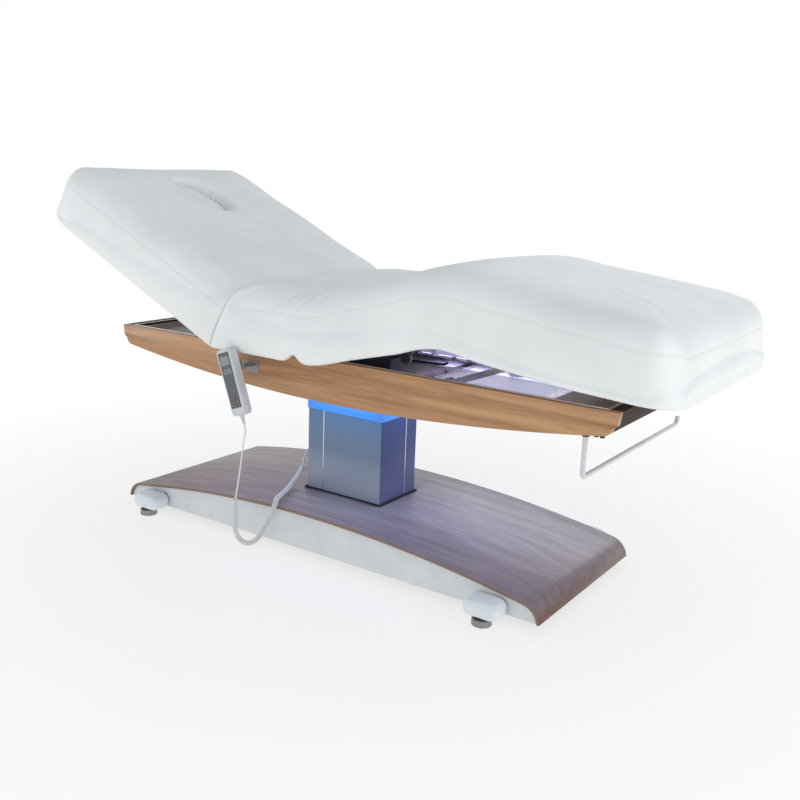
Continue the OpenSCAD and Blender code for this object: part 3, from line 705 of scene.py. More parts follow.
def foot_end(co):
    """Stands the foot end's face plumb and lets the skirt rise towards it."""
    near = ease((co[:, 0] - LEG_L + 0.2) / 0.2)
    out = co.copy()
    out[:, 0] += co[:, 2] * math.tan(CALF_ANGLE) * END_LEAN * near
    low = 1 - ease((co[:, 2] - LOW) / 0.08)
    out[:, 2] += 0.012 * ease((co[:, 0] - LEG_L + 0.3) / 0.3) * low
    return out


def turn(co, at, angle, half, along):
    """Bends a flat pad about a hinge line at distance `at`, over `half` to each side."""
    share = ease((along - at + half) / (2 * half))
    c, s = np.cos(share * angle), np.sin(share * angle)
    x, n = co[:, 0] - at, co[:, 2]
    out = co.copy()
    out[:, 0] = at + x * c - n * s
    out[:, 2] = x * s + n * c
    return out


def ridge(u, v, start, stop, width, height):
    """A soft fold along a line in (u, v), fading at both ends, steeper on one side."""
    a, b = np.array(start), np.array(stop)
    d = b - a
    length = np.linalg.norm(d)
    d /= length
    along = ((u - a[0]) * d[0] + (v - a[1]) * d[1]) / length
    off = (u - a[0]) * -d[1] + (v - a[1]) * d[0]
    off = off - 0.006 * np.sin(along * 5)
    fade = ease(along / 0.35) * ease((1 - along) / 0.45)
    bump = np.exp(-(off / width) ** 2) - 0.55 * np.exp(-((off - 1.7 * width) / (1.1 * width)) ** 2)
    return height * fade * bump


def over_edge(co):
    """Distance up the side and over onto the top, measured from the underside, for the near half."""
    y, n = co[:, 1], co[:, 2]
    rim = TOP - EDGE_R
    side = np.clip(n, LOW, rim) - LOW
    inner = HALF_W - EDGE_R
    angle = np.arctan2(np.maximum(n - rim, 0), np.maximum(-y - inner, 1e-6))
    roll = EDGE_R * np.where(n > rim, angle, 0)
    flat = np.where(n > rim, np.maximum(inner + y, 0), 0)
    return side + roll + flat


def displace(obj, amount):
    """Moves the cover along its normals, leaving the underside alone."""
    co = coords(obj)
    no = normals(obj)
    set_coords(obj, co + no * (amount * ease((co[:, 2] - LOW - 0.01) / 0.03))[:, None])


def crown(co, length, amount=CROWN):
    """Height of the soft crown over the middle of a pad."""
    across = 1 - np.abs(co[:, 1] / HALF_W) ** 2.4
    ends = ease((length - co[:, 0]) / 0.16) * (0.55 + 0.45 * ease(co[:, 0] / 0.08))
    return amount * np.clip(across, 0, 1) * ends * topness(co[:, 2])


def back_place(co):
    """From flat pad coordinates to the backrest at rest."""
    s, n = co[:, 0], co[:, 2]
    c, k = math.cos(BACK_ANGLE), math.sin(BACK_ANGLE)
    return np.stack([BACK.x - s * c + n * k, BASE.y + co[:, 1], BACK.z + s * k + n * c], axis=1)


def leg_place(co, along):
    """From flat pad coordinates to the seat, thigh and calf rests at rest."""
    out = turn(co, SEAT_L + THIGH_L, CALF_ANGLE - THIGH_ANGLE, 0.12, along)
    out = turn(out, SEAT_L, THIGH_ANGLE, 0.13, along)
    return np.stack([BACK.x + out[:, 0], BASE.y + co[:, 1], BACK.z + out[:, 2]], axis=1)


NEAR_SEAM = 2 * ACROSS + UP - 1
FAR_SEAM = ACROSS + UP + 1
GIRTH = 2 * (ACROSS + UP)


def pinch(co, rows, depth=0.0018):
    """Draws the cover in along the boxing seam, at the top of the side walls and of the outer end."""
    for row in range(rows):
        for index, toward in ((NEAR_SEAM, 1), (FAR_SEAM, -1)):
            co[row * GIRTH + index, 1] += toward * depth
    across = (rows - 1) * GIRTH + np.arange(FAR_SEAM, NEAR_SEAM + 1)
    co[across, 0] -= depth
    return co


def seam_paths(co, rows):
    """The boxing seam as a line round the pad, with a second line just above it for the stitches."""
    ring = np.arange(1, rows) * GIRTH
    end = ring[-1] + np.arange(FAR_SEAM, NEAR_SEAM + 1)[::-1]
    seam = np.concatenate([co[ring + NEAR_SEAM], co[end], co[ring[::-1] + FAR_SEAM]])
    inner = np.concatenate([co[ring + NEAR_SEAM - 1], co[end - GIRTH], co[ring[::-1] + FAR_SEAM + 1]])
    up = inner - seam
    reach = np.linalg.norm(up, axis=1)[:, None] + 1e-9
    return seam, seam + up / reach * np.minimum(0.0045, reach)


def sew(name, lines):
    """The seam cord and the row of stitches beside it, as two pieces."""
    cord, thread = [], []
    for seam, row in lines:
        cord.append(tube("seam", even(seam, 0.006), 0.0007, 6))
        path = even(row, 0.0005)
        for first in range(4, len(path) - 10, 11):
            thread.append(tube("stitch", path[first:first + 8:2], [0.0004, 0.00075, 0.00075, 0.0004], 5))
    pieces = [join(name + "_seam_cord", cord), join(name + "_stitches", thread)]
    for piece, look in zip(pieces, (MATERIALS["seam"], THREAD)):
        finish_piece(piece, "white_leather", look=look)
    return pieces


FACE = (0.520, 0.0)
HOLE_L, HOLE_W = 0.218, 0.138
PLUG_SLOPE = 0.07


def oval_gap(s, y, length=HOLE_L, width=HOLE_W):
    """Signed distance from the face opening's edge, near enough for shaping."""
    a, b = length / 2, width / 2
    u, v = (s - FACE[0]) / a, (y - FACE[1]) / b
    k = np.sqrt(u * u + v * v) + 1e-9
    slope = np.sqrt((u / a) ** 2 + (v / b) ** 2) / k + 1e-9
    return (k - 1) / slope


def back_top(co):
    """Shape of the backrest's top above the plain crown: a dish round the face opening and its rolled rim."""
    s, y, n = co[:, 0], co[:, 1], co[:, 2]
    dish = -0.005 * np.exp(-((s - FACE[0]) / 0.20) ** 2 - ((y - FACE[1]) / 0.15) ** 2)
    gap = np.maximum(oval_gap(s, y), 0)
    roll = 0.022
    lip = np.where(gap < roll, np.sqrt(np.maximum(roll ** 2 - (roll - gap) ** 2, 0)) - roll, 0)
    return (dish + lip * 0.75) * topness(n)


def make_back_pad():
    pad = flat_pad("back_pad", BACK_L, BACK_END, BACK_CORNER)
    puff(pad, SWELL, SWELL_CAP)
    co = coords(pad)
    co[:, 2] += crown(co, BACK_L, BACK_CROWN)
    set_coords(pad, pinch(co, len(stations(BACK_L, BACK_END)), 0.0009))
    subdivide(pad)
    co = coords(pad)
    shaped = back_top(co)
    crease = ridge(co[:, 0], co[:, 1], (0.40, -0.01), (0.16, -0.05), 0.010, -0.0022) * topness(co[:, 2])
    slow = 0.0014 * np.sin(co[:, 0] * 17 + 2.0 * np.sin(co[:, 1] * 6)) * topness(co[:, 2])
    co[:, 2] += shaped + crease + slow
    co[:, 0] += SEAM_GAP
    set_coords(pad, back_place(co))
    back_seam = seam_paths(coords(pad), len(stations(BACK_L, BACK_END)))
    cut_opening(pad)
    finish_piece(pad, "white_leather", replaces=("back_cushion",))
    outward = Vector((-math.cos(BACK_ANGLE), 0, math.sin(BACK_ANGLE)))
    sewn = sew("back", [back_seam])
    for piece in [pad] + sewn:
        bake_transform(piece, "carriage", "backrest", start=BACK, end=BACK + outward * 0.26)


def oval_prism(name, length, width, low, high, rounding=0.0, count=96):
    """An oval block in the backrest's frame, from heights low to high, with a soft top edge."""
    rows = [(0.0, low)]
    if rounding:
        rows += [(0.0, high - rounding)]
        rows += [(rounding * (1 - math.cos(a)), high - rounding + rounding * math.sin(a))
                 for a in np.linspace(0, math.pi / 2, 8)[1:]]
        last = rounding
        for k in range(1, 7):
            share = k / 7
            rows.append((last + (width / 2 - last) * share, high + 0.006 * (1 - (1 - share) ** 2)))
    else:
        rows += [(0.0, high)]
    points = []
    for inset, height in rows:
        for k in range(count):
            a = 2 * math.pi * k / count
            y = FACE[1] + (width / 2 - inset) * math.sin(a)
            slope = PLUG_SLOPE * y if rounding and height > 0.1 else 0.0
            points.append((FACE[0] + (length / 2 - inset) * math.cos(a), y, height - slope))
    return mesh_object(name, back_place(np.array(points)), closed_rings(len(rows), count))


def cut_opening(pad):
    """Cuts the face opening through the backrest pad."""
    cutter = oval_prism("cutter", HOLE_L, HOLE_W, -0.05, 0.25)
    mod = pad.modifiers.new("cut", "BOOLEAN")
    mod.object = cutter
    mod.operation = "DIFFERENCE"
    mod.solver = "EXACT"
    bake(pad)
    bpy.data.objects.remove(cutter)


def make_plug():
    plug = oval_prism("face_plug_pad", HOLE_L - 0.002, HOLE_W - 0.002, DECK, 0.141, 0.012)
    plug.data.polygons.foreach_set("use_smooth", [True] * len(plug.data.polygons))
    split = plug.modifiers.new("split", "EDGE_SPLIT")
    split.split_angle = math.radians(50)
    finish_piece(plug, "white_leather", "face_plug", ("face_plug",))
    return plug


JOIN_AT = SEAT_L + 0.19


def leg_wrinkles(co):
    """Folds at the near and far edge of the seat, and soft waves along the seam."""
    t, y, n = co[:, 0], co[:, 1], co[:, 2]
    total = np.zeros(len(co))
    streaks = [((0.215, 0.100), (0.345, 0.235), 0.0080, 0.0052),
               ((0.240, 0.105), (0.395, 0.245), 0.0066, 0.0046),
               ((0.285, 0.115), (0.430, 0.240), 0.0070, 0.0044),
               ((0.320, 0.125), (0.455, 0.255), 0.0062, 0.0036),
               ((0.370, 0.135), (0.480, 0.225), 0.0060, 0.0030)]
    for sign, shift in ((1, 0.0), (-1, 0.018)):
        mirrored = co.copy()
        mirrored[:, 1] *= sign
        c = over_edge(mirrored)
        near = (mirrored[:, 1] < 0.02)
        for start, stop, width, height in streaks:
            total += near * ridge(t + shift, c, start, stop, width, height)
    waves = 0.0032 * np.sin((t - 0.35 * np.abs(y)) * 2 * math.pi / 0.085)
    waves = waves * ease((t - 0.03) / 0.05) * ease((0.36 - t) / 0.16)
    total += waves * topness(n) * ease((0.30 - np.abs(y)) / 0.12)
    return total


def skirt_notch(co):
    """The lower edge is gathered up in one place, where seat and thigh rest meet."""
    rise = 0.022 * np.exp(-((co[:, 0] - 0.282) / 0.022) ** 2)
    return rise * (1 - ease((co[:, 2] - LOW) / 0.055)) * ease((np.abs(co[:, 1]) - 0.33) / 0.02)


def leg_top(co):
    """The thigh rest's bulge and the slow dips of foam under leather."""
    t, y = co[:, 0], co[:, 1]
    bulge = 0.010 * np.exp(-((t - 0.30) / 0.14) ** 2) * (1 - 0.5 * (y / HALF_W) ** 2)
    slow = 0.0012 * np.sin(t * 13 + 1.5 * np.sin(y * 7))
    return (bulge + slow) * topness(co[:, 2])


def split_at(obj, row, names):
    """Cuts a pad in two across its length and closes both halves."""
    halves = []
    for name, keep_low in names:
        copy = link(name, obj.data.copy())
        bm = bmesh.new()
        bm.from_mesh(copy.data)
        layer = bm.verts.layers.float["flat_t"]
        gone = [f for f in bm.faces
                if (sum(v[layer] for v in f.verts) / len(f.verts) > row) == keep_low]
        bmesh.ops.delete(bm, geom=gone, context="FACES")
        rim = [e for e in bm.edges if e.is_boundary]
        bmesh.ops.holes_fill(bm, edges=rim)
        bm.to_mesh(copy.data)
        bm.free()
        split = copy.modifiers.new("split", "EDGE_SPLIT")
        split.split_angle = math.radians(60)
        halves.append(copy)
    bpy.data.objects.remove(obj)
    return halves


def make_leg_pads():
    pad = flat_pad("leg_flat", LEG_L, EDGE_R, LEG_CORNER)
    puff(pad, SWELL, SWELL_CAP)
    co = coords(pad)
    co[:, 2] += crown(co, LEG_L)
    set_coords(pad, pinch(co, len(stations(LEG_L))))
    subdivide(pad)
    co = coords(pad)
    crease = ridge(co[:, 0], co[:, 1], (0.90, -0.07), (1.25, -0.25), 0.011, -0.0009) * topness(co[:, 2])
    co[:, 2] += leg_top(co) + skirt_notch(co) + crease
    set_coords(pad, co)
    displace(pad, leg_wrinkles(co))
    co = coords(pad)
    attribute = pad.data.attributes.new("flat_t", "FLOAT", "POINT")
    attribute.data.foreach_set("value", co[:, 0].astype(np.float32))
    leaned = foot_end(lean(co))
    set_coords(pad, leg_place(leaned, leaned[:, 0]))
    seam, row = seam_paths(coords(pad), len(stations(LEG_L)))
    flat_t = seam_paths(co, len(stations(LEG_L)))[0][:, 0]
    outer = np.where(flat_t > JOIN_AT)[0]
    first, last = outer[0], outer[-1] + 1
    seat, leg = split_at(pad, JOIN_AT, (("seat_pad", True), ("leg_pad", False)))
    level = Vector((math.cos(THIGH_ANGLE / 2), 0, math.sin(THIGH_ANGLE / 2)))
    finish_piece(seat, "white_leather", replaces=("seat_cushion", "thigh_cushion"))
    ends = [(seam[:first + 1], row[:first + 1]), (seam[last - 1:], row[last - 1:])]
    for piece in [seat] + sew("seat", ends):
        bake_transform(piece, "carriage", "thigh_rest", start=THIGH - level * 0.13, end=THIGH + level * 0.13)
    tilt = (THIGH_ANGLE + CALF_ANGLE) / 2
    level = Vector((math.cos(tilt), 0, math.sin(tilt)))
    finish_piece(leg, "white_leather", replaces=("calf_cushion",))
    for piece in [leg] + sew("leg", [(seam[first:last], row[first:last])]):
        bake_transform(piece, "thigh_rest", "calf_rest", start=KNEE - level * 0.12, end=KNEE + level * 0.12)


# ---------------------------------------------------------------- base

def make_shoes():
    """Smooth moulded covers over the ends of the cross tubes."""
    low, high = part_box("foot_shoes")
    parts = []
    for name in ("foot_head_near_turn", "foot_head_far_turn", "foot_foot_near_turn", "foot_foot_far_turn"):
        foot = hinge(name)
        side = 1 if foot.y > BASE.y else -1
        inner = 0.2675
        depth = high.y - BASE.y - inner
        rows = [(0.009, 0.0, 0.03), (0.009, 0.0, 0.6), (0.009, 0.0, 1), (0.005, 0.002, 1), (0.003, 0.006, 1),
                (0.0, 0.020, 1), (0.001, 0.028, 1), (0.004, 0.034, 1), (0.008, 0.0385, 1), (0.012, 0.0415, 1),
                (0.016, 0.0432, 1), (0.016, 0.0440, 0.75), (0.016, 0.0445, 0.4), (0.016, 0.0447, 0.03)]
        points, size = [], 40
        for inset, rise, fill in rows:
            for k in range(size):
                a = 2 * math.pi * k / size
                c, s = math.cos(a), math.sin(a)
                x = (0.050 - inset) * math.copysign(abs(c) ** 0.38, c)
                y = (depth / 2 - inset / 2) * math.copysign(abs(s) ** 0.42, s)
                drop = 0.09 * (y * fill / depth + 0.5)
                points.append((foot.x + x * fill, BASE.y + side * (inner + depth / 2 + y * fill),
                               low.z + rise * (1 - drop)))
        parts.append(mesh_object("shoe", points, closed_rings(len(rows), size)))
    shoes = join("shoe_covers", parts)
    subdivide(shoes)
    finish_piece(shoes, "shoe_white", "base", ("foot_shoes",))


def make_feet():
    """Levelling feet: a ribbed pad, a black ring and a threaded stem."""
    for name in ("foot_head_near", "foot_head_far", "foot_foot_near", "foot_foot_far"):
        at = hinge(name + "_turn")
        place = (at.x, at.y, 0.0)
        outline = [(0.0225, 0.0), (0.0245, 0.0008), (0.025, 0.003), (0.025, 0.009), (0.0246, 0.0095),
                   (0.0246, 0.0105), (0.025, 0.011), (0.025, 0.0145), (0.0243, 0.0165), (0.022, 0.0172)]
        pad = lathe(name + "_pad", outline, place, count=64)
        finish_piece(pad, "foot_rubber", name, (name,))
        ring = lathe(name + "_ring", [(0.016, 0.0170), (0.0218, 0.0170), (0.0222, 0.0178), (0.0222, 0.0200),
                                      (0.0216, 0.0208), (0.012, 0.0210)], place)
        finish_piece(ring, "black_plastic", name)
        thread = [(0.0058 if k % 2 else 0.0050, 0.0205 + 0.00075 * k) for k in range(48)]
        stem = lathe(name + "_stem", thread, place, count=24)
        finish_piece(stem, "bright_steel", name)


def make_column_highlight_strips():
    """Bright steel strips that stand a hair proud of the casing's grooves, put there as a painted highlight along
    the grooves' edges.
    """
    low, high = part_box("column_outer")
    length, width = high.x - low.x, high.y - low.y
    seam_x, seam_y = low.x + 0.22 * length, (low.y + high.y) / 2 + 0.19 * width
    strips = []
    for side in (low.y, high.y):
        strips.append(block("strip", (seam_x - 0.0017, side - 0.0005, 0.125),
                            (seam_x + 0.0017, side + 0.0008, high.z - 0.001), plain, 0.0003))
    strips.append(block("strip", (high.x - 0.0008, seam_y - 0.0017, 0.125),
                        (high.x + 0.0005, seam_y + 0.0017, high.z - 0.001), plain, 0.0003))
    finish_piece(join("column_highlight_strips", strips), "bright_steel", "base")


def make_grommet():
    low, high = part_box("cord_grommet")
    mid = (low + high) / 2
    out = [(0.0028, 0.0), (0.0055, 0.0), (0.0085, 0.0008), (0.0098, 0.0022), (0.0100, 0.0040),
           (0.0096, 0.0049), (0.0060, 0.0050), (0.0058, 0.0088), (0.0028, 0.0088)]
    ring = lathe("grommet", out, (low.x, mid.y, mid.z), (1, 0, 0))
    finish_piece(ring, "cord_white", "base", ("cord_grommet",))


# ---------------------------------------------------------------- fittings in the tray

WASHER = [(0.0085, 0.0), (0.0090, 0.0004), (0.0088, 0.0012), (0.004, 0.0013)]
BOLT_HEAD = [(0.0062, 0.001), (0.0066, 0.0016), (0.0066, 0.0052), (0.0058, 0.0058), (0.002, 0.0058)]


def make_tray_fittings():
    """A cable hole in the tray's far wall, bolt heads on the rails, and the drives' cables."""
    low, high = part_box("tray")
    wall = high.y - 0.002
    hole = (BASE.x + 0.168, wall, low.z + 0.030)
    ring = [(0.0150, 0.0), (0.0186, 0.0), (0.0190, 0.0008), (0.0186, 0.0022), (0.0170, 0.0030),
            (0.0152, 0.0022)]
    rim = lathe("wall_grommet", ring, hole, (0, -1, 0))
    finish_piece(rim, "black_plastic", "carriage")
    disc = [(0.0153, 0.0), (0.0153, 0.0008), (0.0135, 0.0013), (0.004, 0.0016)]
    cap = lathe("wall_grommet_cap", disc, hole, (0, -1, 0))
    finish_piece(cap, "panel_white", "carriage")
    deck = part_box("support_rails")[0].z + 0.016
    bolts = []
    for x in (-0.39, -0.14, 0.03, 0.16, 0.30, 0.44, 0.58):
        for y in (-0.21, 0.21):
            spot = from_base(x, y, deck)
            bolts.append(lathe("washer", WASHER, spot, count=24))
            bolts.append(lathe("head", BOLT_HEAD, spot, count=6))
    finish_piece(edges(join("rail_bolts", bolts), 0.0), "bright_steel", "carriage")
    floor = low.z + 0.0065
    cables = []
    for start, y in ((0.20, 0.105), (-0.02, -0.11)):
        line = [(start, y, 0.020), (start - 0.03, y + 0.03, 0.006), (start - 0.10, y + 0.045, 0),
                (start - 0.19, y + 0.02, 0),
                (start - 0.26, y * 0.4, 0), (start - 0.30, 0.0, 0)]
        points = [from_base(a, b, floor + c) for a, b, c in line]
        cables.append(tube("cable", even(spline(points), 0.005), 0.0032, 10))
    finish_piece(join("drive_cables", cables), "black_rubber", "carriage")


# ---------------------------------------------------------------- handset and its cord

STRAIGHT = [from_base(*p) for p in (
    (-0.110, -0.400, 0.404), (-0.103, -0.400, 0.384), (-0.101, -0.400, 0.366), (-0.112, -0.397, 0.326),
    (-0.138, -0.381, 0.254), (-0.160, -0.367, 0.200), (-0.172, -0.361, 0.172))]
COIL = [from_base(*p) for p in (
    (-0.174, -0.360, 0.163), (-0.176, -0.360, 0.140), (-0.176, -0.360, 0.090), (-0.176, -0.360, 0.062),
    (-0.168, -0.358, 0.044), (-0.150, -0.354, 0.032), (-0.130, -0.346, 0.033), (-0.114, -0.330, 0.052),
    (-0.104, -0.300, 0.096), (-0.101, -0.284, 0.130), (-0.112, -0.262, 0.143), (-0.135, -0.213, 0.140),
    (-0.158, -0.160, 0.138), (-0.172, -0.124, 0.144), (-0.178, -0.090, 0.160), (-0.176, -0.074, 0.185))]
LEAD = [from_base(*p) for p in (
    (-0.176, -0.074, 0.185), (-0.172, -0.068, 0.220), (-0.160, -0.061, 0.239), (-0.148, -0.060, 0.241))]
WIRE_R = 0.0022
LEAD_R = 0.0021
COIL_R = 0.0056
COIL_PITCH = 0.0049
DROP_END = 0.062


def make_cords():
    """A straight lead from the handset, a coiled length that hangs to the floor, and a lead to the casing."""
    straight = tube("cord_upper", even(spline(STRAIGHT), 0.004), LEAD_R, 10)
    finish_piece(straight, "cord_white", replaces=("cord_straight",))
    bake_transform(straight, "middle_stage", "carriage", start=STRAIGHT[-1], end=STRAIGHT[0])
    path = even(spline(COIL), 0.0005)
    u, v = frames_along(path)
    run = np.arange(len(path)) * 0.0005
    angle = 2 * np.pi * run / COIL_PITCH
    radius = COIL_R * ease(run / 0.012) * ease((run[-1] - run) / 0.012)
    helix = path + radius[:, None] * (np.cos(angle)[:, None] * u + np.sin(angle)[:, None] * v)
    line = even(helix, 0.0028)
    first = int(np.argmax(line[:, 2] < DROP_END))
    drop = tube("cord_coil_drop", line[:first + 1], WIRE_R, 7)
    finish_piece(drop, "cord_white")
    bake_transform(drop, "base", "middle_stage", start=from_base(-0.176, -0.360, DROP_END + 0.004),
             end=COIL[0])
    rest = tube("cord_coil", line[first:], WIRE_R, 7)
    finish_piece(rest, "cord_white", "base", ("coil_cord",))
    bend = spline([STRAIGHT[-1], from_base(-0.1735, -0.3605, 0.167), COIL[0]])
    joint = tube("cord_link", even(bend, 0.002), LEAD_R, 8)
    finish_piece(joint, "cord_white", "middle_stage")
    lead = tube("cord_lead", even(spline(LEAD), 0.004), LEAD_R, 8)
    finish_piece(lead, "cord_white", "base")


PANEL = centre("handset_panel")
HAND_UP = (centre("key_up") - centre("key_down")).normalized()
HAND_X = Vector((0, 1, 0)).cross(HAND_UP)
HAND_MID = Vector((PANEL.x, BASE.y - 0.400, PANEL.z))


def at_hand(x, y, z):
    """From the handset's own axes to the frame: x across, y through, z along."""
    return HAND_MID + HAND_X * x + Vector((0, y, 0)) + HAND_UP * z


def rounded(length, width, radius, count=10):
    """Points round a rectangle with round corners, as (x, z)."""
    out = []
    for cx, cz, start in ((1, 1, 0), (-1, 1, 90), (-1, -1, 180), (1, -1, 270)):
        for k in range(count + 1):
            a = math.radians(start + 90 * k / count)
            out.append((cx * (width / 2 - radius) + radius * math.cos(a),
                        cz * (length / 2 - radius) + radius * math.sin(a)))
    return out


def hand_shell(name, sign, inner):
    """One half of the handset's case: a round-edged tray, open towards the parting line."""
    rows = [(0.0025, 0.0003), (0.0, 0.0003), (0.0, 0.0113), (0.0003, 0.0130), (0.0011, 0.0142),
            (0.0024, 0.0149), (0.0036, 0.0150)] + inner
    points = []
    for inset, depth in rows:
        for x, z in rounded(0.178 - 2 * inset, 0.050 - 2 * inset, max(0.011 - inset, 0.003)):
            narrow = 1 - 0.10 * max(0.0, -z / 0.089) ** 2
            points.append(at_hand(x * narrow, sign * depth, z))
    return mesh_object(name, points, closed_rings(len(rows), len(points) // len(rows)))


def block(name, low, high, place=at_hand, radius=0.0006):
    """A small block with rounded edges, between two corners."""
    bm = bmesh.new()
    made = bmesh.ops.create_cube(bm, size=1.0)
    for v in made["verts"]:
        v.co = Vector([low[k] + (high[k] - low[k]) * (v.co[k] + 0.5) for k in range(3)])
    bmesh.ops.bevel(bm, geom=bm.edges[:], offset=radius, segments=3, affect="EDGES", profile=0.5)
    for v in bm.verts:
        v.co = place(*v.co)
    bmesh.ops.recalc_face_normals(bm, faces=bm.faces)
    mesh = bpy.data.meshes.new(name)
    bm.to_mesh(mesh)
    bm.free()
    return link(name, mesh)


def plain(x, y, z):
    return Vector((x, y, z))


def make_handset():
    front = hand_shell("handset_case_front", -1, [(0.0044, 0.0150), (0.0047, 0.0142)])
    edges(front, 0.0, angle=35)
    finish_piece(front, "handset_grey", "handset", ("handset_front",))
    back = hand_shell("handset_case_back", 1, [])
    edges(back, 0.0, angle=35)
    finish_piece(back, "handset_grey", "handset", ("handset_back",))
    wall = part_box("handset_rail")[0].y
    left, right = BASE.x - 0.174, BASE.x - 0.150
    hook = [block("arm", (left, BASE.y - 0.388, 0.5532), (right, wall + 0.010, 0.5562), plain),
            block("lip", (left, wall + 0.0069, 0.538), (right, wall + 0.0099, 0.5545), plain)]
    hook.append(block("tab", (0.0215, -0.006, -0.084), (0.0262, 0.006, -0.064), radius=0.0015))
    clip = join("handset_clip", hook)
    finish_piece(clip, "handset_grey", "handset")
    film = block("handset_film", (-0.0193, -0.0149, -0.068), (0.0193, -0.0139, 0.080), radius=0.0003)
    finish_piece(film, "keypad_film", "handset", ("handset_panel",))
    screen = block("handset_screen", (-0.0155, -0.0152, 0.046), (0.0155, -0.0147, 0.070), radius=0.0002)
    finish_piece(screen, "keypad_film", "handset", look=MATERIALS["display"])
    lines = [block("line", (-0.014, -0.0152, z), (0.014, -0.0148, z + 0.0009), radius=0.0001)
             for z in (0.034, 0.029, 0.024)]
    marks = join("handset_marks", lines)
    finish_piece(marks, "keypad_film", "handset", look=MARK)
    mouth = at_hand(-0.004, 0, -0.113)
    ribs = [(0.0030, 0.0)]
    for k in range(6):
        ribs += [(0.0037 + 0.0003 * k, 0.0005 + 0.0032 * k), (0.0040 + 0.0003 * k, 0.0022 + 0.0032 * k),
                 (0.0033 + 0.0003 * k, 0.0026 + 0.0032 * k)]
    ribs += [(0.0065, 0.0205), (0.0070, 0.0245)]
    boot = lathe("cord_boot_cover", ribs, mouth, HAND_UP, 24)
    finish_piece(boot, "handset_grey", "handset", ("cord_boot",))
    for name, sides, turned in (("key_up", 3, 90), ("key_down", 3, -90), ("key_left", 3, 180),
                                ("key_right", 3, 0), ("key_stop", 20, 0)):
        make_key(name, sides, turned)


def make_key(name, sides, turned):
    """A domed cap with a raised arrow or dot."""
    at = centre(name)
    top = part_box(name)[0].y
    profile = [(0.0040, 0.0), (0.0040, 0.0022), (0.0038, 0.0027), (0.0033, 0.0030), (0.0018, 0.0032),
               (0.0004, 0.0033)]
    cap = lathe("cap", profile, (at.x, top + 0.0031, at.z), (0, -1, 0), 32)
    marks = []
    for rise in (0.0, 0.0004):
        for k in range(sides):
            a = math.radians(turned) + 2 * math.pi * k / sides
            radius = 0.0021 if sides == 3 else 0.0013
            spot = HAND_X * (radius * math.cos(a)) + HAND_UP * (radius * math.sin(a))
            marks.append((at.x + spot.x, top - 0.0001 - rise, at.z + spot.z))
    faces = rings_to_faces(2, sides) + [tuple(range(sides)), tuple(range(sides, 2 * sides))]
    arrow = mesh_object(name + "_mark", marks, faces, smooth=False)
    finish_piece(arrow, "key_plastic", name, look=MARK)
    cap.name = name + "_cap"
    cap.data.name = cap.name
    finish_piece(cap, "key_plastic", name, (name,))


MATERIALS["display"] = painted("display", (0.22, 0.27, 0.25), 0.2, 0.02, coat=0.5)


# ---------------------------------------------------------------- stage, light and camera

def area(name, place, target, size, power, color=(1, 1, 1), size_y=None):
    data = bpy.data.lights.new(name, "AREA")
    data.energy = power
    data.color = color
    data.size = size
    if size_y:
        data.shape = "RECTANGLE"
        data.size_y = size_y
    obj = link(name, data)
    obj.location = place
    obj.visible_camera = False
    obj.visible_glossy = size > 1
    obj.rotation_euler = (Vector(target) - Vector(place)).to_track_quat("-Z", "Y").to_euler()
    return obj


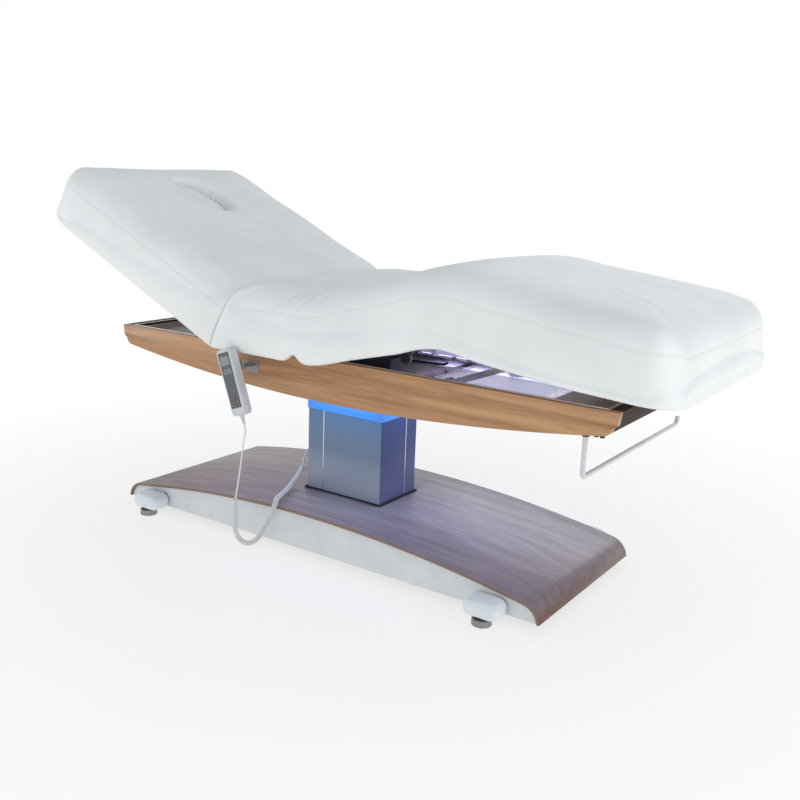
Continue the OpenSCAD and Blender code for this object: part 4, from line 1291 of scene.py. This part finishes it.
def make_stage():
    """A pale floor that fades into the white surround, and soft light from all sides."""
    reach = 40
    points = [(x, y, 0) for x in (-reach, reach) for y in (-reach, reach)]
    floor = mesh_object("floor", points, [(0, 2, 3, 1)])
    look = Look("floor", (0.86, 0.86, 0.86), 0.7, Specular_IOR_Level=0.1)
    at = look.place()
    tone = look.scaled(look.noise(at, 3.0), 0.3, 0.7)
    look.set("Base Color", look.mix(tone, (0.85, 0.85, 0.85), (0.87, 0.87, 0.87)))
    far = look.node("ShaderNodeVectorMath", {0: at}, operation="LENGTH").outputs["Value"]
    white = look.node("ShaderNodeEmission", {"Color": (1, 1, 1, 1), "Strength": 1.0})
    share = look.scaled(far, 0.7, 2.0, 0.70, 1.0)
    blend = look.node("ShaderNodeMixShader", {0: share, 1: look.shader.outputs[0], 2: white.outputs[0]})
    look.tree.links.new(blend.outputs[0], look.tree.nodes["Material Output"].inputs["Surface"])
    floor.data.materials.append(look.mat)

    world = bpy.data.worlds.new("surround")
    SCENE.world = world
    world.use_nodes = True
    tree = world.node_tree
    back = tree.nodes["Background"]
    up = tree.nodes.new("ShaderNodeNewGeometry")
    split = tree.nodes.new("ShaderNodeSeparateXYZ")
    tree.links.new(up.outputs["Incoming"], split.inputs[0])
    height = tree.nodes.new("ShaderNodeMapRange")
    for name, value in (("From Min", -1.0), ("From Max", 0.1), ("To Min", OVERHEAD), ("To Max", AROUND)):
        height.inputs[name].default_value = value
    tree.links.new(split.outputs["Z"], height.inputs["Value"])
    tree.links.new(height.outputs[0], back.inputs["Strength"])
    back.inputs["Color"].default_value = (0.94, 0.97, 1.0, 1)
    seen = tree.nodes.new("ShaderNodeBackground")
    seen.inputs["Color"].default_value = (1, 1, 1, 1)
    seen.inputs["Strength"].default_value = 1.0
    path = tree.nodes.new("ShaderNodeLightPath")
    pick = tree.nodes.new("ShaderNodeMixShader")
    tree.links.new(path.outputs["Is Camera Ray"], pick.inputs[0])
    tree.links.new(back.outputs[0], pick.inputs[1])
    tree.links.new(seen.outputs[0], pick.inputs[2])
    tree.links.new(pick.outputs[0], tree.nodes["World Output"].inputs["Surface"])

    area("key", from_base(1.2, -4.2, 1.2), from_base(0, 0, 0.5), 2.8, 28, (1.0, 0.99, 0.97))
    area("fill", from_base(-3.8, -1.6, 1.3), from_base(0, 0, 0.6), 2.4, 22, (0.95, 0.97, 1.0))
    area("back_light", from_base(-0.5, 4.0, 2.0), from_base(0, 0, 0.6), 2.6, 18)
    area("end_light", from_base(4.2, 0.4, 1.4), from_base(0.4, 0, 0.5), 2.2, 46)
    SCENE.view_settings.view_transform = "Standard"


OVERHEAD = 0.64
AROUND = 0.62


def make_glow():
    """Blue light round the collar, and violet light on the base and in the tray."""
    low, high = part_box("led_collar")
    mid = (low + high) / 2
    blue, violet = (0.14, 0.42, 1.0), (0.62, 0.56, 1.0)
    area("collar_near", (mid.x, low.y - 0.05, high.z), (mid.x, low.y, low.z - 0.2), 0.24, 0.35, blue, 0.03)
    area("collar_foot", (high.x + 0.05, mid.y, high.z), (high.x, mid.y, low.z - 0.2), 0.03, 0.35, blue, 0.16)
    area("under_foot", (BASE.x + 0.42, BASE.y, 0.455), (BASE.x + 0.36, BASE.y, 0.1), 0.3, 0.55, violet, 0.3)
    area("under_head", (BASE.x - 0.42, BASE.y, 0.465), (BASE.x - 0.40, BASE.y, 0.1), 0.3, 0.3, violet, 0.3)
    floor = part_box("tray")[0].z
    area("tray_light", from_base(0.42, 0.05, floor + 0.07), from_base(0.44, 0.1, 0.0), 0.40, 0.75,
         (0.72, 0.76, 1.0), 0.30)
    area("tray_side", from_base(0.38, 0.16, floor + 0.035), from_base(0.38, 0.3, floor + 0.03), 0.5, 1.2,
         violet, 0.03)


def make_camera():
    """The camera stands off the near foot corner, a little above the bed, and leans slightly."""
    heading, pitch, roll = math.radians(34.04), math.radians(13.58), math.radians(2.18)
    ahead = Vector((-math.sin(heading), math.cos(heading), 0))
    right = Vector((math.cos(heading), math.sin(heading), 0))
    up = Vector((0, 0, 1))
    look = ahead * math.cos(pitch) - up * math.sin(pitch)
    over = ahead * math.sin(pitch) + up * math.cos(pitch)
    x = right * math.cos(roll) + over * math.sin(roll)
    y = over * math.cos(roll) - right * math.sin(roll)
    data = bpy.data.cameras.new("camera")
    data.lens = 43.26
    data.sensor_width = 36
    camera = link("camera", data)
    camera.matrix_world = Matrix.Translation(from_base(1.591, -2.186, 1.056)) @ Matrix(
        (x, y, -look)).transposed().to_4x4()
    SCENE.camera = camera


dress_frame()
make_back_pad()
make_plug()
make_leg_pads()
make_shoes()
make_feet()
make_column_highlight_strips()
make_tray_fittings()
make_grommet()
make_cords()
make_handset()
make_stage()
make_glow()
make_camera()
